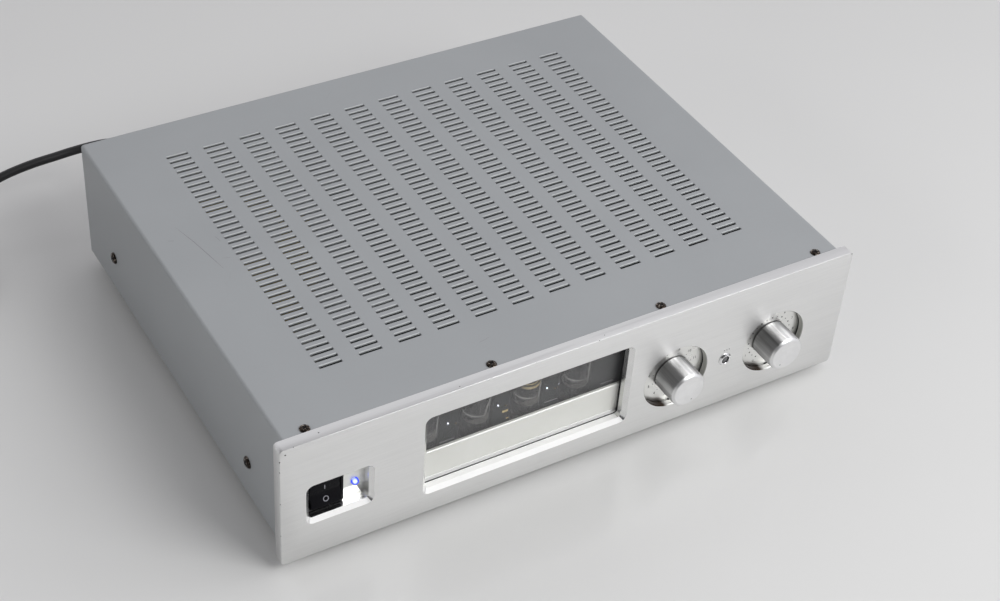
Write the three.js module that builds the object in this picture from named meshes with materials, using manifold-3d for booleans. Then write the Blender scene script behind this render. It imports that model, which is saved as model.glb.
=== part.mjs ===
// Full-width hybrid tube amplifier with its mains lead put away beside it.
// Millimetres, +X to the right as seen from the front, +Y to the back, +Z up.
// While it is built, y = 0 is the front panel's face and z = 0 the table.
import * as THREE from 'three';
import { mergeGeometries, mergeVertices, toCreasedNormals } from 'three/addons/utils/BufferGeometryUtils.js';
import Module from 'manifold-3d';

const wasm = await Module();
wasm.setup();

// Overall sizes
const panelHeight = 99.4;
const panelThickness = 8.9;
const panelCornerRadius = 3;
const panelRise = 6;
const coverWidth = 418;
const panelOverhang = 6;
const coverLength = 331.3;
const coverTopDrop = 1.4;
const coverHemRise = 3.8;
const coverBendRadius = 2;
const sheet = 1.2;
const seam = 0.3;
const overrun = 0.4;

// Front panel: windows with bevelled edges, knob recesses
const windowBevel = 2.75;
const windowCornerRadius = 5.5;
const powerWindowWidth = 46.9;
const powerWindowShare = -0.405233;
const powerWindowBottom = 28;
const powerWindowTop = 61.2;
const tubeWindowLeftShare = -0.270465;
const tubeWindowRightShare = 0.09;
const tubeWindowBottom = 16.2;
const tubeWindowTop = 83.6;
const controlHeight = 41;
const selectShare = 0.176744;
const volumeShare = 0.365814;
const recessRadius = 25;
const recessDepth = 5;
const recessChamfer = 0.6;

// Plate behind the panel
const plateThickness = 1.5;
const plateFlangeDepth = 13;
const plateSlotMargin = 3.5;
const plateSlotBottom = 44.3;
const plateSlotTop = 88;
const glassThickness = 2;
const glassOverlap = 7;

// Vent slots of the cover
const ventColumns = 12;
const ventRows = 40;
const ventSideMargin = 55.825;
const ventLength = 16;
const ventWidth = 2.2;
const ventFrontMargin = 48.1;
const ventBackMargin = 39.84;

// Knobs, shafts and the controls behind them
const knobRadius = 13.45;
const knobReach = 15.9;
const knobBackGap = 0.6;
const knobFrontChamfer = 0.9;
const knobBackChamfer = 0.6;
const knobDimpleRadius = 1;
const knobDimpleDepth = 0.5;
const knobDimpleShare = 0.68;
const selectMarkDegrees = -71;
const volumeMarkDegrees = -120;
const shaftRadius = 3;
const shaftSeat = 14;
const runningGap = 0.3;
const bushWall = 1.1;
const volumeBody = { radius: 8.5, depth: 12 };
const selectBody = { radius: 14, depth: 16 };
const shaftInBody = 8;

// Power switch
const switchInset = 16.1;
const switchCentreRise = 43.2;
const bezelWidth = 25.6;
const bezelHeight = 24;
const bezelThickness = 1.9;
const switchBodyWidth = 24;
const switchBodyHeight = 22.4;
const switchBodyDepth = 20;
const cavityWidth = 21.4;
const cavityDepth = 7.2;
const rockerEndRadius = 10;
const rockerEndGap = 0.4;
const rockerPivotDepth = 10;
const rockerLip = 4.4;
const rockerDish = 1.8;
const rockerBackDepth = 2;
const rockerTilt = 11;
const rockerPinRadius = 1.2;
const rockerPinReach = 0.8;

// Lamp and sensor
const lampInset = 9.4;
const lampRise = 42.3;
const lampRadius = 2.5;
const lampReach = 3.2;
const lampFlangeRadius = 3.1;
const lampTail = 5;
const sensorShare = 0.27093;
const sensorRise = 40.6;
const sensorRingRadius = 5;
const sensorRingProud = 1.2;
const sensorLensRadius = 2.6;
const sensorRingWall = 1;
const sensorTail = 6;

// Feet
const footRadius = 17;
const footTaper = 1.5;
const footBoreRadius = 2.5;
const footSinkRadius = 6;
const footSinkDepth = 4;
const footInset = 42;
const footBackInset = 38;

// Tray, boards and what stands on them
const trayFlange = 14;
const bossRadius = 3;
const bossHeight = 7;
const boardThickness = 1.6;
const boardInset = 5;
const boardTubeMargin = 14.85;
const boardSideGap = 3.5;
const boardFrontGap = 9.3;
const boardBetween = 14;
const supplyBoardGap = 44;
const supplyBoardSideGap = 17.5;
const supplyBoardDepth = 136;
const supplyBoardBackGap = 18.5;

// Tubes seen through the window
const tubeCount = 4;
const tubeDepth = 36;
const socketRadius = 11;
const socketHeight = 9;
const socketBore = 5;
const tubeRadius = 11;
const tubeHeight = 50;
const tubeTipRadius = 2.2;
const tubeTipHeight = 5;
const tubeWall = 1;
const tubeNeckHeight = 4;
const tubePinRadius = 3.6;
const tubePinLength = 5;
const anodeWidth = 15;
const anodeDepth = 8;
const anodeHeight = 22;
const micaRadius = 9;
const micaThickness = 0.8;
const stemRadius = 2.2;

// Transformer, capacitors and heat sinks
const toroidSideGap = 21.5;
const toroidBackInset = 90.5;
const toroidOuter = 56;
const toroidInner = 17;
const toroidHeight = 50;
const toroidRound = 12;
const clampRadius = 30;
const clampThickness = 2;
const clampBoltRadius = 4;
const clampHeadRadius = 6.5;
const clampHeadHeight = 5;
const capacitorRadius = 15;
const capacitorHeight = 50;
const capacitorRound = 1.5;
const capacitorPitch = 42;
const heatSinkLength = 110;
const heatSinkHeight = 62;
const heatSinkBase = 5;
const heatSinkFin = 1.8;
const heatSinkReach = 30;
const heatSinkFins = 6;

// Rear panel and its sockets
const rearThickness = 1.5;
const rearPlaneInset = 0.3;
const inletInset = 52;
const inletHeight = 52;
const inletFlangeWidth = 32;
const inletFlangeHeight = 25;
const inletFlangeThickness = 3;
const inletBodyWidth = 27.5;
const inletBodyHeight = 20.5;
const inletBodyDepth = 22;
const inletCavityWidth = 24.4;
const inletCavityHeight = 16.8;
const inletCavityDepth = 17;
const inletCornerCut = 5;
const jackInset = 83;
const jackPitchX = 20;
const jackPitchZ = 19;
const jackColumns = 3;
const jackRows = 2;
const jackHeight = 60;
const jackRadius = 4.2;
const jackBore = 1.7;
const jackReach = 9;
const jackBlockDepth = 9;
const jackBlockMargin = 9;
const postHeight = 56;
const postOffsets = [-68.5, -46.5, 13.5, 35.5];
const postCollarRadius = 7.5;
const postCollarReach = 4;
const postStudRadius = 2.6;
const postTail = 9;
const capRadius = 7.5;
const capLength = 16;
const capEdge = 0.8;
const capLipLength = 3;
const holeClearance = 0.3;

// Mains lead: x from the inlet, y from the rear panel's face, z from the table
const cordRadius = 3.3;
const leadExitReach = 45;
const connectorReach = 21;
const connectorWidth = 27;
const connectorHeight = 19;
const connectorRound = 4;
const noseLength = 14;
const noseGap = 0.5;
const reliefFrontRadius = 6;
const reliefBackRadius = 4.4;
const leadRoute = [
  [-0.8, 58.3, 51.2],
  [-5, 66.3, 49.6],
  [-12, 72.8, 46.8],
  [-22, 77.4, 44],
  [-34, 79.9, 41.9],
  [-47, 80.6, 40.7],
  [-62, 80.4, 39.8],
  [-77, 80.2, 38],
  [-91, 79.6, 35.4],
  [-105, 78, 31.2],
  [-119, 74.8, 25.4],
  [-133, 70.2, 18.4],
  [-146, 65.4, 11.7],
  [-157, 61.8, 7.2],
];
const coilTurns = 5.25;
const coilPitch = 7.2;
const coilMiddleRadius = 37.6;
const coilBeside = 181;
const coilBehind = 15.8;
const coilSteps = 22;
const cordSides = 6;
const tieThickness = 0.7;
const tieWidth = 10;
const tieLift = 0.03;
const plugWidth = 25;
const plugLength = 36;
const plugRound = 5;
const plugReliefLength = 20;
const bladeThickness = 1.6;
const bladeWidth = 6.3;
const bladeLength = 17;
const bladeSpacing = 12.7;
const earthRadius = 2.3;
const earthLength = 20;
const earthRise = 5;

// Facets of the round shapes
const recessSides = 32;
const knobSides = 30;
const roundSides = 16;
const smallSides = 12;
const tinySides = 10;
const holeSides = 8;
const studSides = 6;
const cornerSteps = 4;
const creaseAngle = Math.PI / 5;

// Places worked out from the sizes
const panelWidth = coverWidth + 2 * panelOverhang;
const panelTop = panelRise + panelHeight;
const coverTop = panelTop - coverTopDrop;
const hem = panelRise + coverHemRise;
const coverFront = panelThickness + seam;
const coverBack = coverFront + coverLength;
const plateFront = panelThickness + seam;
const plateBack = plateFront + plateThickness;
const insideHalf = coverWidth / 2 - sheet - seam;
const insideTop = coverTop - sheet - seam;
const rearFace = coverBack - rearPlaneInset;
const rearFront = rearFace - rearThickness;
const trayFront = plateBack + seam;
const trayBack = rearFront - seam;
const trayTop = hem + sheet;
const powerWindow = {
  left: powerWindowShare * panelWidth - powerWindowWidth / 2,
  right: powerWindowShare * panelWidth + powerWindowWidth / 2,
  bottom: powerWindowBottom,
  top: powerWindowTop,
};
const tubeWindow = {
  left: tubeWindowLeftShare * panelWidth,
  right: tubeWindowRightShare * panelWidth,
  bottom: tubeWindowBottom,
  top: tubeWindowTop,
};
const controlZ = panelRise + controlHeight;
const selectX = selectShare * panelWidth;
const volumeX = volumeShare * panelWidth;
const sensorX = sensorShare * panelWidth;
const switchX = powerWindow.left + switchInset;
const lampX = powerWindow.right - lampInset;
const ventColumnPitch = (coverWidth - 2 * ventSideMargin) / (ventColumns - 1);
const ventRowPitch = (coverLength - ventFrontMargin - ventBackMargin) / (ventRows - 1);
const ventFirstRow = coverFront + ventFrontMargin;
const boardBottom = trayTop + bossHeight + seam;
const boardTop = boardBottom + boardThickness;
const tubePitch = (tubeWindow.right - tubeWindow.left) / tubeCount;
const toroidX = toroidSideGap + toroidOuter - insideHalf;
const toroidY = coverBack - toroidBackInset;
const supplyBoard = {
  left: toroidX + toroidOuter + supplyBoardGap,
  right: insideHalf - heatSinkReach - supplyBoardSideGap,
  front: coverBack - supplyBoardBackGap - supplyBoardDepth,
  back: coverBack - supplyBoardBackGap,
};
const mainBoard = {
  left: tubeWindow.left + tubePitch / 2 - boardTubeMargin,
  right: insideHalf - heatSinkReach - boardSideGap,
  front: plateBack + boardFrontGap,
  back: supplyBoard.front - boardBetween,
};
const knobBack = recessDepth - knobBackGap;
const bushRadius = shaftRadius + runningGap + bushWall;
const inletX = inletInset - coverWidth / 2;
const jackX = coverWidth / 2 - jackInset;
const postPlaces = postOffsets.map((offset) => (inletX + jackX) / 2 + offset);
const coilX = inletX - coilBeside;
const coilY = rearFace + coilBehind;
const capFront = rearFace + postCollarReach + seam;
const capBack = capFront + capLength;
const coilLift = tieLift + tieThickness + seam + cordRadius;

// Finishes
const finish = (color, roughness, metalness) =>
  new THREE.MeshStandardMaterial({ color, roughness, metalness });
const brushedAluminium = finish(0xd4d5d6, 0.32, 1);
const plateSilver = finish(0xcfd0cc, 0.25, 1);
const paintedGrey = finish(0x9a9fa5, 0.5, 0.3);
const zincSteel = finish(0xb4b6b8, 0.4, 0.9);
const polishedAluminium = finish(0xdddee0, 0.12, 1);
const chrome = finish(0xe4e6e8, 0.08, 1);
const smokedGlass = finish(0x2b2b2c, 0.06, 0);
const clearGlass = finish(0xd8dde0, 0.05, 0);
const blackPlastic = finish(0x0d0d0e, 0.35, 0);
const blackRubber = finish(0x121213, 0.75, 0);
const blueLens = finish(0x9fb4ff, 0.1, 0);
const boardGreen = finish(0x17512f, 0.55, 0);
const ceramic = finish(0xe9e3d2, 0.45, 0);
const anodeGrey = finish(0x3c3c3e, 0.6, 0.4);
const tapeYellow = finish(0xb9a13a, 0.5, 0);
const sleeveBlack = finish(0x17181c, 0.35, 0);

// Solids and booleans
function toSolid(geometry) {
  const bare = geometry.clone();
  bare.deleteAttribute('normal');
  bare.deleteAttribute('uv');
  const merged = mergeVertices(bare, 1e-4);
  return new wasm.Manifold(new wasm.Mesh({
    numProp: 3,
    vertProperties: new Float32Array(merged.attributes.position.array),
    triVerts: new Uint32Array(merged.index.array),
  }));
}

function toGeometry(solid) {
  const mesh = solid.getMesh();
  const stride = mesh.numProp;
  const count = mesh.vertProperties.length / stride;
  const position = new Float32Array(count * 3);
  for (let i = 0; i < count; i += 1) {
    position.set(mesh.vertProperties.subarray(i * stride, i * stride + 3), i * 3);
  }
  const geometry = new THREE.BufferGeometry();
  geometry.setAttribute('position', new THREE.BufferAttribute(position, 3));
  geometry.setIndex(new THREE.BufferAttribute(new Uint32Array(mesh.triVerts), 1));
  return geometry;
}

function cut(body, ...tools) {
  const start = toSolid(body);
  return toGeometry(tools.reduce((solid, tool) => solid.subtract(toSolid(tool)), start));
}

function join(body, ...more) {
  const start = toSolid(body);
  return toGeometry(more.reduce((solid, other) => solid.add(toSolid(other)), start));
}

// A block given by its lowest and highest corner
function block(x0, x1, y0, y1, z0, z1) {
  const geometry = new THREE.BoxGeometry(x1 - x0, y1 - y0, z1 - z0);
  return geometry.translate((x0 + x1) / 2, (y0 + y1) / 2, (z0 + z1) / 2);
}

// An outline in x and z, extruded to the back from y0
function slab(shape, y0, depth) {
  const geometry = new THREE.ExtrudeGeometry(shape, { depth, bevelEnabled: false });
  return geometry.rotateX(Math.PI / 2).translate(0, y0 + depth, 0);
}

// An outline in y and z, extruded to the right from x0
function bar(points, x0, width) {
  const shape = new THREE.Shape(points.map(([y, z]) => new THREE.Vector2(y, z)));
  const geometry = new THREE.ExtrudeGeometry(shape, { depth: width, bevelEnabled: false });
  return geometry.rotateZ(Math.PI / 2).rotateY(Math.PI / 2).translate(x0, 0, 0);
}

// A plain cylinder along y
function rod(radius, x, z, y0, y1, sides = roundSides) {
  const geometry = new THREE.CylinderGeometry(radius, radius, y1 - y0, sides);
  return geometry.translate(x, (y0 + y1) / 2, z);
}

// A plain cylinder along z
function post(radius, x, y, z0, z1, sides = roundSides) {
  const geometry = new THREE.CylinderGeometry(radius, radius, z1 - z0, sides);
  return geometry.rotateX(Math.PI / 2).translate(x, y, (z0 + z1) / 2);
}

// A profile of radius and y turned round an axis along y
function turnedY(profile, x, z, sides = roundSides) {
  const points = profile.map(([radius, y]) => new THREE.Vector2(radius, y));
  return new THREE.LatheGeometry(points, sides).translate(x, 0, z);
}

// A profile of radius and z turned round an upright axis
function turnedZ(profile, x, y, sides = roundSides) {
  const points = profile.map(([radius, z]) => new THREE.Vector2(radius, z));
  return new THREE.LatheGeometry(points, sides).rotateX(Math.PI / 2).translate(x, y, 0);
}

// Corner points of a rectangle with round corners, counterclockwise
function roundedCorners(left, right, bottom, top, radius, steps = cornerSteps) {
  const centres = [
    [right - radius, bottom + radius, -Math.PI / 2],
    [right - radius, top - radius, 0],
    [left + radius, top - radius, Math.PI / 2],
    [left + radius, bottom + radius, Math.PI],
  ];
  return centres.flatMap(([u, v, start]) => Array.from({ length: steps + 1 }, (_, i) => {
    const angle = start + (i / steps) * (Math.PI / 2);
    return [u + radius * Math.cos(angle), v + radius * Math.sin(angle)];
  }));
}

function roundedShape(left, right, bottom, top, radius) {
  const points = roundedCorners(left, right, bottom, top, radius);
  return new THREE.Shape(points.map(([u, v]) => new THREE.Vector2(u, v)));
}

// Closed skin through rings of points, with a flat cap on each end
function loft(rings) {
  const size = rings[0].length;
  const position = rings.flat().flatMap((p) => [p.x, p.y, p.z]);
  const index = [];
  for (let r = 0; r + 1 < rings.length; r += 1) {
    for (let i = 0; i < size; i += 1) {
      const a = r * size + i;
      const b = r * size + ((i + 1) % size);
      index.push(a, b, b + size, a, b + size, a + size);
    }
  }
  const last = (rings.length - 1) * size;
  for (let i = 1; i + 1 < size; i += 1) {
    index.push(0, i + 1, i, last, last + i, last + i + 1);
  }
  const geometry = new THREE.BufferGeometry();
  geometry.setAttribute('position', new THREE.Float32BufferAttribute(position, 3));
  geometry.setIndex(index);
  return geometry;
}

// A ring of points in x and z at one depth, ordered for loft() from front to back
function ringAt(points, y) {
  return points.map(([x, z]) => new THREE.Vector3(x, y, z)).reverse();
}

const group = new THREE.Group();

function place(name, geometry, material) {
  const mesh = new THREE.Mesh(toCreasedNormals(geometry, creaseAngle), material.clone());
  mesh.name = name;
  group.add(mesh);
  return mesh;
}

// Window cutter: bevelled at the front, straight behind
function windowCutter(frame) {
  const bottom = panelRise + frame.bottom;
  const top = panelRise + frame.top;
  const outline = (inset) => roundedCorners(
    frame.left + inset,
    frame.right - inset,
    bottom + inset,
    top - inset,
    windowCornerRadius - inset,
  );
  return loft([
    ringAt(outline(-overrun), -overrun),
    ringAt(outline(windowBevel), windowBevel),
    ringAt(outline(windowBevel), panelThickness + overrun),
  ]);
}

// Recess for a knob
function recessCutter(x) {
  return turnedY([
    [0, -overrun],
    [recessRadius + recessChamfer + overrun, -overrun],
    [recessRadius, recessChamfer],
    [recessRadius, recessDepth],
    [0, recessDepth],
  ], x, controlZ, recessSides);
}

function bushHole(x) {
  return rod(bushRadius + holeClearance, x, controlZ, 0, panelThickness + overrun, smallSides);
}

function frontPanel() {
  const outline = roundedShape(-panelWidth / 2, panelWidth / 2, panelRise, panelTop, panelCornerRadius);
  const sensorBore = sensorLensRadius + sensorRingWall + holeClearance;
  place('front_panel', cut(
    slab(outline, 0, panelThickness),
    windowCutter(powerWindow),
    windowCutter(tubeWindow),
    recessCutter(selectX),
    recessCutter(volumeX),
    bushHole(selectX),
    bushHole(volumeX),
    rod(sensorBore, sensorX, panelRise + sensorRise, -overrun, panelThickness + overrun, smallSides),
  ), brushedAluminium);
}

// Plate that carries the controls, bent back at the top under the cover
function frontPlate() {
  const through = [plateFront - overrun, plateBack + overrun];
  const body = bar([
    [plateFront, hem],
    [plateBack, hem],
    [plateBack, insideTop - plateThickness],
    [plateFront + plateFlangeDepth, insideTop - plateThickness],
    [plateFront + plateFlangeDepth, insideTop],
    [plateFront, insideTop],
  ], -insideHalf, 2 * insideHalf);
  const slot = block(
    tubeWindow.left - plateSlotMargin,
    tubeWindow.right + plateSlotMargin,
    ...through,
    panelRise + plateSlotBottom,
    panelRise + plateSlotTop,
  );
  const switchZ = panelRise + switchCentreRise;
  const switchHole = block(
    switchX - switchBodyWidth / 2 - holeClearance,
    switchX + switchBodyWidth / 2 + holeClearance,
    ...through,
    switchZ - switchBodyHeight / 2 - holeClearance,
    switchZ + switchBodyHeight / 2 + holeClearance,
  );
  const holes = [
    [lampRadius, lampX, panelRise + lampRise],
    [sensorLensRadius + sensorRingWall, sensorX, panelRise + sensorRise],
    [bushRadius, selectX, controlZ],
    [bushRadius, volumeX, controlZ],
  ].map(([radius, x, z]) => rod(radius + holeClearance, x, z, ...through, smallSides));
  place('front_plate', cut(body, slot, switchHole, ...holes), plateSilver);
}

function windowGlass() {
  const left = tubeWindow.left - plateSlotMargin - glassOverlap;
  const right = tubeWindow.right + plateSlotMargin + glassOverlap;
  const bottom = panelRise + plateSlotBottom - glassOverlap;
  const top = panelRise + plateSlotTop + glassOverlap / 2;
  const front = plateBack + seam;
  place('window_glass', block(left, right, front, front + glassThickness, bottom, top), smokedGlass);
}

// One sheet bent down at both sides, with the field of vent slots punched in its top
function topCover() {
  const half = coverWidth / 2;
  const bend = (radius, x, z) => roundedCorners(-x, x, -z, z, radius)
    .filter(([, v]) => v > 0)
    .slice(0, 2 * (cornerSteps + 1));
  const outer = bend(coverBendRadius, half, coverTop);
  const inner = bend(coverBendRadius - sheet, half - sheet, coverTop - sheet);
  const outline = [
    [half, hem],
    ...outer,
    [-half, hem],
    [sheet - half, hem],
    ...inner.reverse(),
    [half - sheet, hem],
  ];
  const shape = new THREE.Shape(outline.map(([x, z]) => new THREE.Vector2(x, z)));
  const firstX = -(ventColumns - 1) * ventColumnPitch / 2;
  const slots = [];
  for (let column = 0; column < ventColumns; column += 1) {
    for (let row = 0; row < ventRows; row += 1) {
      const x = firstX + column * ventColumnPitch;
      const y = ventFirstRow + row * ventRowPitch;
      slots.push(block(
        x - ventLength / 2,
        x + ventLength / 2,
        y - ventWidth / 2,
        y + ventWidth / 2,
        coverTop - sheet - overrun,
        coverTop + overrun,
      ));
    }
  }
  place('top_cover', cut(slab(shape, coverFront, coverLength), mergeGeometries(slots)), paintedGrey);
}

// Bottom tray with turned-up sides and pressed studs under the boards
function boardCorners(board) {
  return [
    [board.left + boardInset, board.front + boardInset],
    [board.right - boardInset, board.front + boardInset],
    [board.left + boardInset, board.back - boardInset],
    [board.right - boardInset, board.back - boardInset],
  ];
}

function chassisTray() {
  const floor = block(-insideHalf, insideHalf, trayFront, trayBack, hem, trayTop);
  const flanges = [-1, 1].map((side) => {
    const outer = side * insideHalf;
    const inner = side * (insideHalf - sheet);
    return block(Math.min(outer, inner), Math.max(outer, inner), trayFront, trayBack, hem, hem + trayFlange);
  });
  const studs = [mainBoard, supplyBoard].flatMap(boardCorners)
    .map(([x, y]) => post(bossRadius, x, y, hem + sheet / 2, trayTop + bossHeight, studSides));
  place('chassis_tray', join(floor, ...flanges, ...studs), zincSteel);
}

function rearPanel() {
  const through = [rearFront - overrun, rearFace + overrun];
  const inlet = block(
    inletX - inletBodyWidth / 2 - holeClearance,
    inletX + inletBodyWidth / 2 + holeClearance,
    ...through,
    inletHeight - inletBodyHeight / 2 - holeClearance,
    inletHeight + inletBodyHeight / 2 + holeClearance,
  );
  const round = (radius, x, z) => {
    const corner = (radius + holeClearance) / Math.cos(Math.PI / holeSides);
    return rod(corner, x, z, ...through, holeSides);
  };
  const jacks = jackPlaces().map(([x, z]) => round(jackRadius, x, z));
  const posts = postPlaces.map((x) => round(postStudRadius, x, postHeight));
  const body = block(-insideHalf, insideHalf, rearFront, rearFace, hem, insideTop);
  place('rear_panel', cut(body, inlet, ...jacks, ...posts), zincSteel);
}

function feet() {
  const top = hem - seam;
  const places = [
    ['foot_front_left', -coverWidth / 2 + footInset, coverFront + footInset],
    ['foot_front_right', coverWidth / 2 - footInset, coverFront + footInset],
    ['foot_rear_left', -coverWidth / 2 + footInset, coverBack - footBackInset],
    ['foot_rear_right', coverWidth / 2 - footInset, coverBack - footBackInset],
  ];
  for (const [name, x, y] of places) {
    place(name, turnedZ([
      [footSinkRadius, 0],
      [footRadius - footTaper, 0],
      [footRadius, top],
      [footBoreRadius, top],
      [footBoreRadius, footSinkDepth],
      [footSinkRadius, footSinkDepth],
      [footSinkRadius, 0],
    ], x, y, smallSides), blackRubber);
  }
}

// Knob turned from solid, with a blind bore for its shaft
function knob(name, x, markDegrees) {
  const front = -knobReach;
  const bore = shaftRadius + runningGap;
  const body = turnedY([
    [0, front],
    [knobRadius - knobFrontChamfer, front],
    [knobRadius, front + knobFrontChamfer],
    [knobRadius, knobBack - knobBackChamfer],
    [knobRadius - knobBackChamfer, knobBack],
    [0, knobBack],
  ], x, controlZ, knobSides);
  const seat = rod(bore, x, controlZ, knobBack - shaftSeat, knobBack + overrun, smallSides);
  const angle = THREE.MathUtils.degToRad(markDegrees);
  const reach = knobRadius * knobDimpleShare;
  const markX = x + reach * Math.cos(angle);
  const markZ = controlZ + reach * Math.sin(angle);
  const dimple = rod(knobDimpleRadius, markX, markZ, front - overrun, front + knobDimpleDepth, studSides);
  place(name, cut(body, seat, dimple), polishedAluminium);
}

// Control behind the plate, with its bush through plate and panel
function control(name, x, body) {
  const bore = shaftRadius + runningGap;
  const face = plateBack + seam;
  place(name, turnedY([
    [bore, recessDepth + runningGap],
    [bushRadius, recessDepth + runningGap],
    [bushRadius, face],
    [body.radius, face],
    [body.radius, face + body.depth],
    [0, face + body.depth],
    [0, face + shaftInBody + runningGap],
    [bore, face + shaftInBody + runningGap],
    [bore, recessDepth + runningGap],
  ], x, controlZ, smallSides), zincSteel);
}

function shaft(name, x) {
  const front = knobBack - shaftSeat + runningGap;
  place(name, rod(shaftRadius, x, controlZ, front, plateBack + seam + shaftInBody, smallSides), zincSteel);
}

// Switch housing: bezel in the window, body through the plate, open well for the rocker
function powerSwitch() {
  const z = panelRise + switchCentreRise;
  const bezelBack = plateFront - seam;
  const bezelFront = bezelBack - bezelThickness;
  const outline = roundedShape(
    switchX - bezelWidth / 2,
    switchX + bezelWidth / 2,
    z - bezelHeight / 2,
    z + bezelHeight / 2,
    rockerDish,
  );
  const body = block(
    switchX - switchBodyWidth / 2,
    switchX + switchBodyWidth / 2,
    bezelFront + bezelThickness / 2,
    bezelBack + switchBodyDepth,
    z - switchBodyHeight / 2,
    z + switchBodyHeight / 2,
  );
  const wellHalf = rockerEndRadius + rockerEndGap;
  const well = block(
    switchX - cavityWidth / 2,
    switchX + cavityWidth / 2,
    bezelFront - overrun,
    bezelFront + cavityDepth,
    z - wellHalf,
    z + wellHalf,
  );
  const pinHalf = cavityWidth / 2 + rockerPinReach + runningGap;
  const pins = new THREE.CylinderGeometry(
    rockerPinRadius + runningGap,
    rockerPinRadius + runningGap,
    2 * pinHalf,
    smallSides,
  ).rotateZ(Math.PI / 2).translate(switchX, rockerPivotDepth, z);
  place('power_switch', cut(join(slab(outline, bezelFront, bezelThickness), body), well, pins), blackPlastic);
}

// Rocker drawn level and then tilted to its ON side, with its two pivot pins
function powerRocker() {
  const z = panelRise + switchCentreRise;
  const half = cavityWidth / 2 - runningGap;
  const endStart = Math.acos(-rockerLip / rockerEndRadius);
  const endStop = Math.acos(rockerBackDepth / rockerEndRadius);
  const end = (side) => Array.from({ length: cornerSteps + 1 }, (_, i) => {
    const angle = endStart + (i / cornerSteps) * (endStop - endStart);
    return [rockerEndRadius * Math.cos(angle), side * rockerEndRadius * Math.sin(angle)];
  });
  const outline = [[rockerDish - rockerLip, 0], ...end(-1), ...end(1).reverse()];
  const pinHalf = half + runningGap + rockerPinReach;
  const pins = new THREE.CylinderGeometry(rockerPinRadius, rockerPinRadius, 2 * pinHalf, smallSides)
    .rotateZ(Math.PI / 2);
  const body = join(bar(outline, -half, 2 * half), pins);
  body.rotateX(THREE.MathUtils.degToRad(-rockerTilt));
  place('power_rocker', body.translate(switchX, rockerPivotDepth, z), blackPlastic);
}

// Lamp dome through the plate, held by its flange behind
function powerLamp() {
  const tip = plateFront - lampReach;
  const shoulder = tip + lampRadius;
  const dome = Array.from({ length: cornerSteps + 1 }, (_, i) => {
    const angle = (i / cornerSteps) * (Math.PI / 2);
    return [lampRadius * Math.sin(angle), shoulder - lampRadius * Math.cos(angle)];
  });
  const flange = plateBack + seam;
  place('power_lamp', turnedY([
    ...dome,
    [lampRadius, flange],
    [lampFlangeRadius, flange],
    [lampFlangeRadius, flange + lampTail],
    [0, flange + lampTail],
  ], lampX, panelRise + lampRise, smallSides), blueLens);
}

// Sensor: a bright ring on the panel with a dark lens through it
function sensor() {
  const z = panelRise + sensorRise;
  const bore = sensorLensRadius + runningGap;
  const tube = sensorLensRadius + sensorRingWall;
  place('sensor_ring', turnedY([
    [bore, -sensorRingProud],
    [tube, -sensorRingProud],
    [sensorRingRadius, -seam],
    [tube, -seam],
    [tube, plateFront - seam],
    [bore, plateFront - seam],
    [bore, -sensorRingProud],
  ], sensorX, z), chrome);
  place('sensor_lens', turnedY([
    [0, -sensorRingProud / 2],
    [sensorLensRadius - seam, -sensorRingProud / 2],
    [sensorLensRadius, 0],
    [sensorLensRadius, plateBack + sensorTail],
    [0, plateBack + sensorTail],
  ], sensorX, z, smallSides), smokedGlass);
}

function boards() {
  for (const [name, board] of [['amplifier_board', mainBoard], ['supply_board', supplyBoard]]) {
    place(name, block(board.left, board.right, board.front, board.back, boardBottom, boardTop), boardGreen);
  }
}

// Tube places in a row centred on the window
function tubePlaces() {
  const middle = (tubeWindow.left + tubeWindow.right) / 2;
  return Array.from({ length: tubeCount }, (_, i) => middle + (i - (tubeCount - 1) / 2) * tubePitch);
}

function tubes() {
  const socketBase = boardTop + seam;
  const socketTop = socketBase + socketHeight;
  const foot = socketTop + seam;
  const crown = foot + tubeHeight - tubeTipHeight;
  tubePlaces().forEach((x, i) => {
    const n = i + 1;
    place(`tube_socket_${n}`, turnedZ([
      [socketBore, socketBase],
      [socketRadius - seam, socketBase],
      [socketRadius, socketTop],
      [socketBore, socketTop],
      [socketBore, socketBase],
    ], x, tubeDepth, tinySides), ceramic);
    place(`tube_glass_${n}`, turnedZ([
      [stemRadius + runningGap, foot],
      [tubeRadius, foot],
      [tubeRadius, crown - tubeRadius / 2],
      [tubeTipRadius, crown + tubeTipHeight / 3],
      [0, crown + tubeTipHeight],
      [0, crown - tubeWall],
      [tubeRadius - tubeWall, crown - tubeRadius / 2],
      [tubeRadius - tubeWall, foot + tubeWall],
      [stemRadius + runningGap, foot + tubeWall],
      [stemRadius + runningGap, foot],
    ], x, tubeDepth, tinySides), clearGlass);
    place(`tube_anode_${n}`, tubeInside(x, foot), anodeGrey);
  });
}

// Anode box between two mica discs on a stem that passes down into the socket
function tubeInside(x, foot) {
  const low = foot + tubeNeckHeight + tubeNeckHeight;
  const high = low + micaThickness + anodeHeight;
  const disc = (z) => post(micaRadius, x, tubeDepth, z, z + micaThickness, tinySides);
  const box = block(
    x - anodeWidth / 2,
    x + anodeWidth / 2,
    tubeDepth - anodeDepth / 2,
    tubeDepth + anodeDepth / 2,
    low + micaThickness / 2,
    high + micaThickness / 2,
  );
  const stem = post(stemRadius, x, tubeDepth, foot - tubePinLength, low + micaThickness / 2, studSides);
  return join(box, disc(low), disc(high), stem);
}

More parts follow.
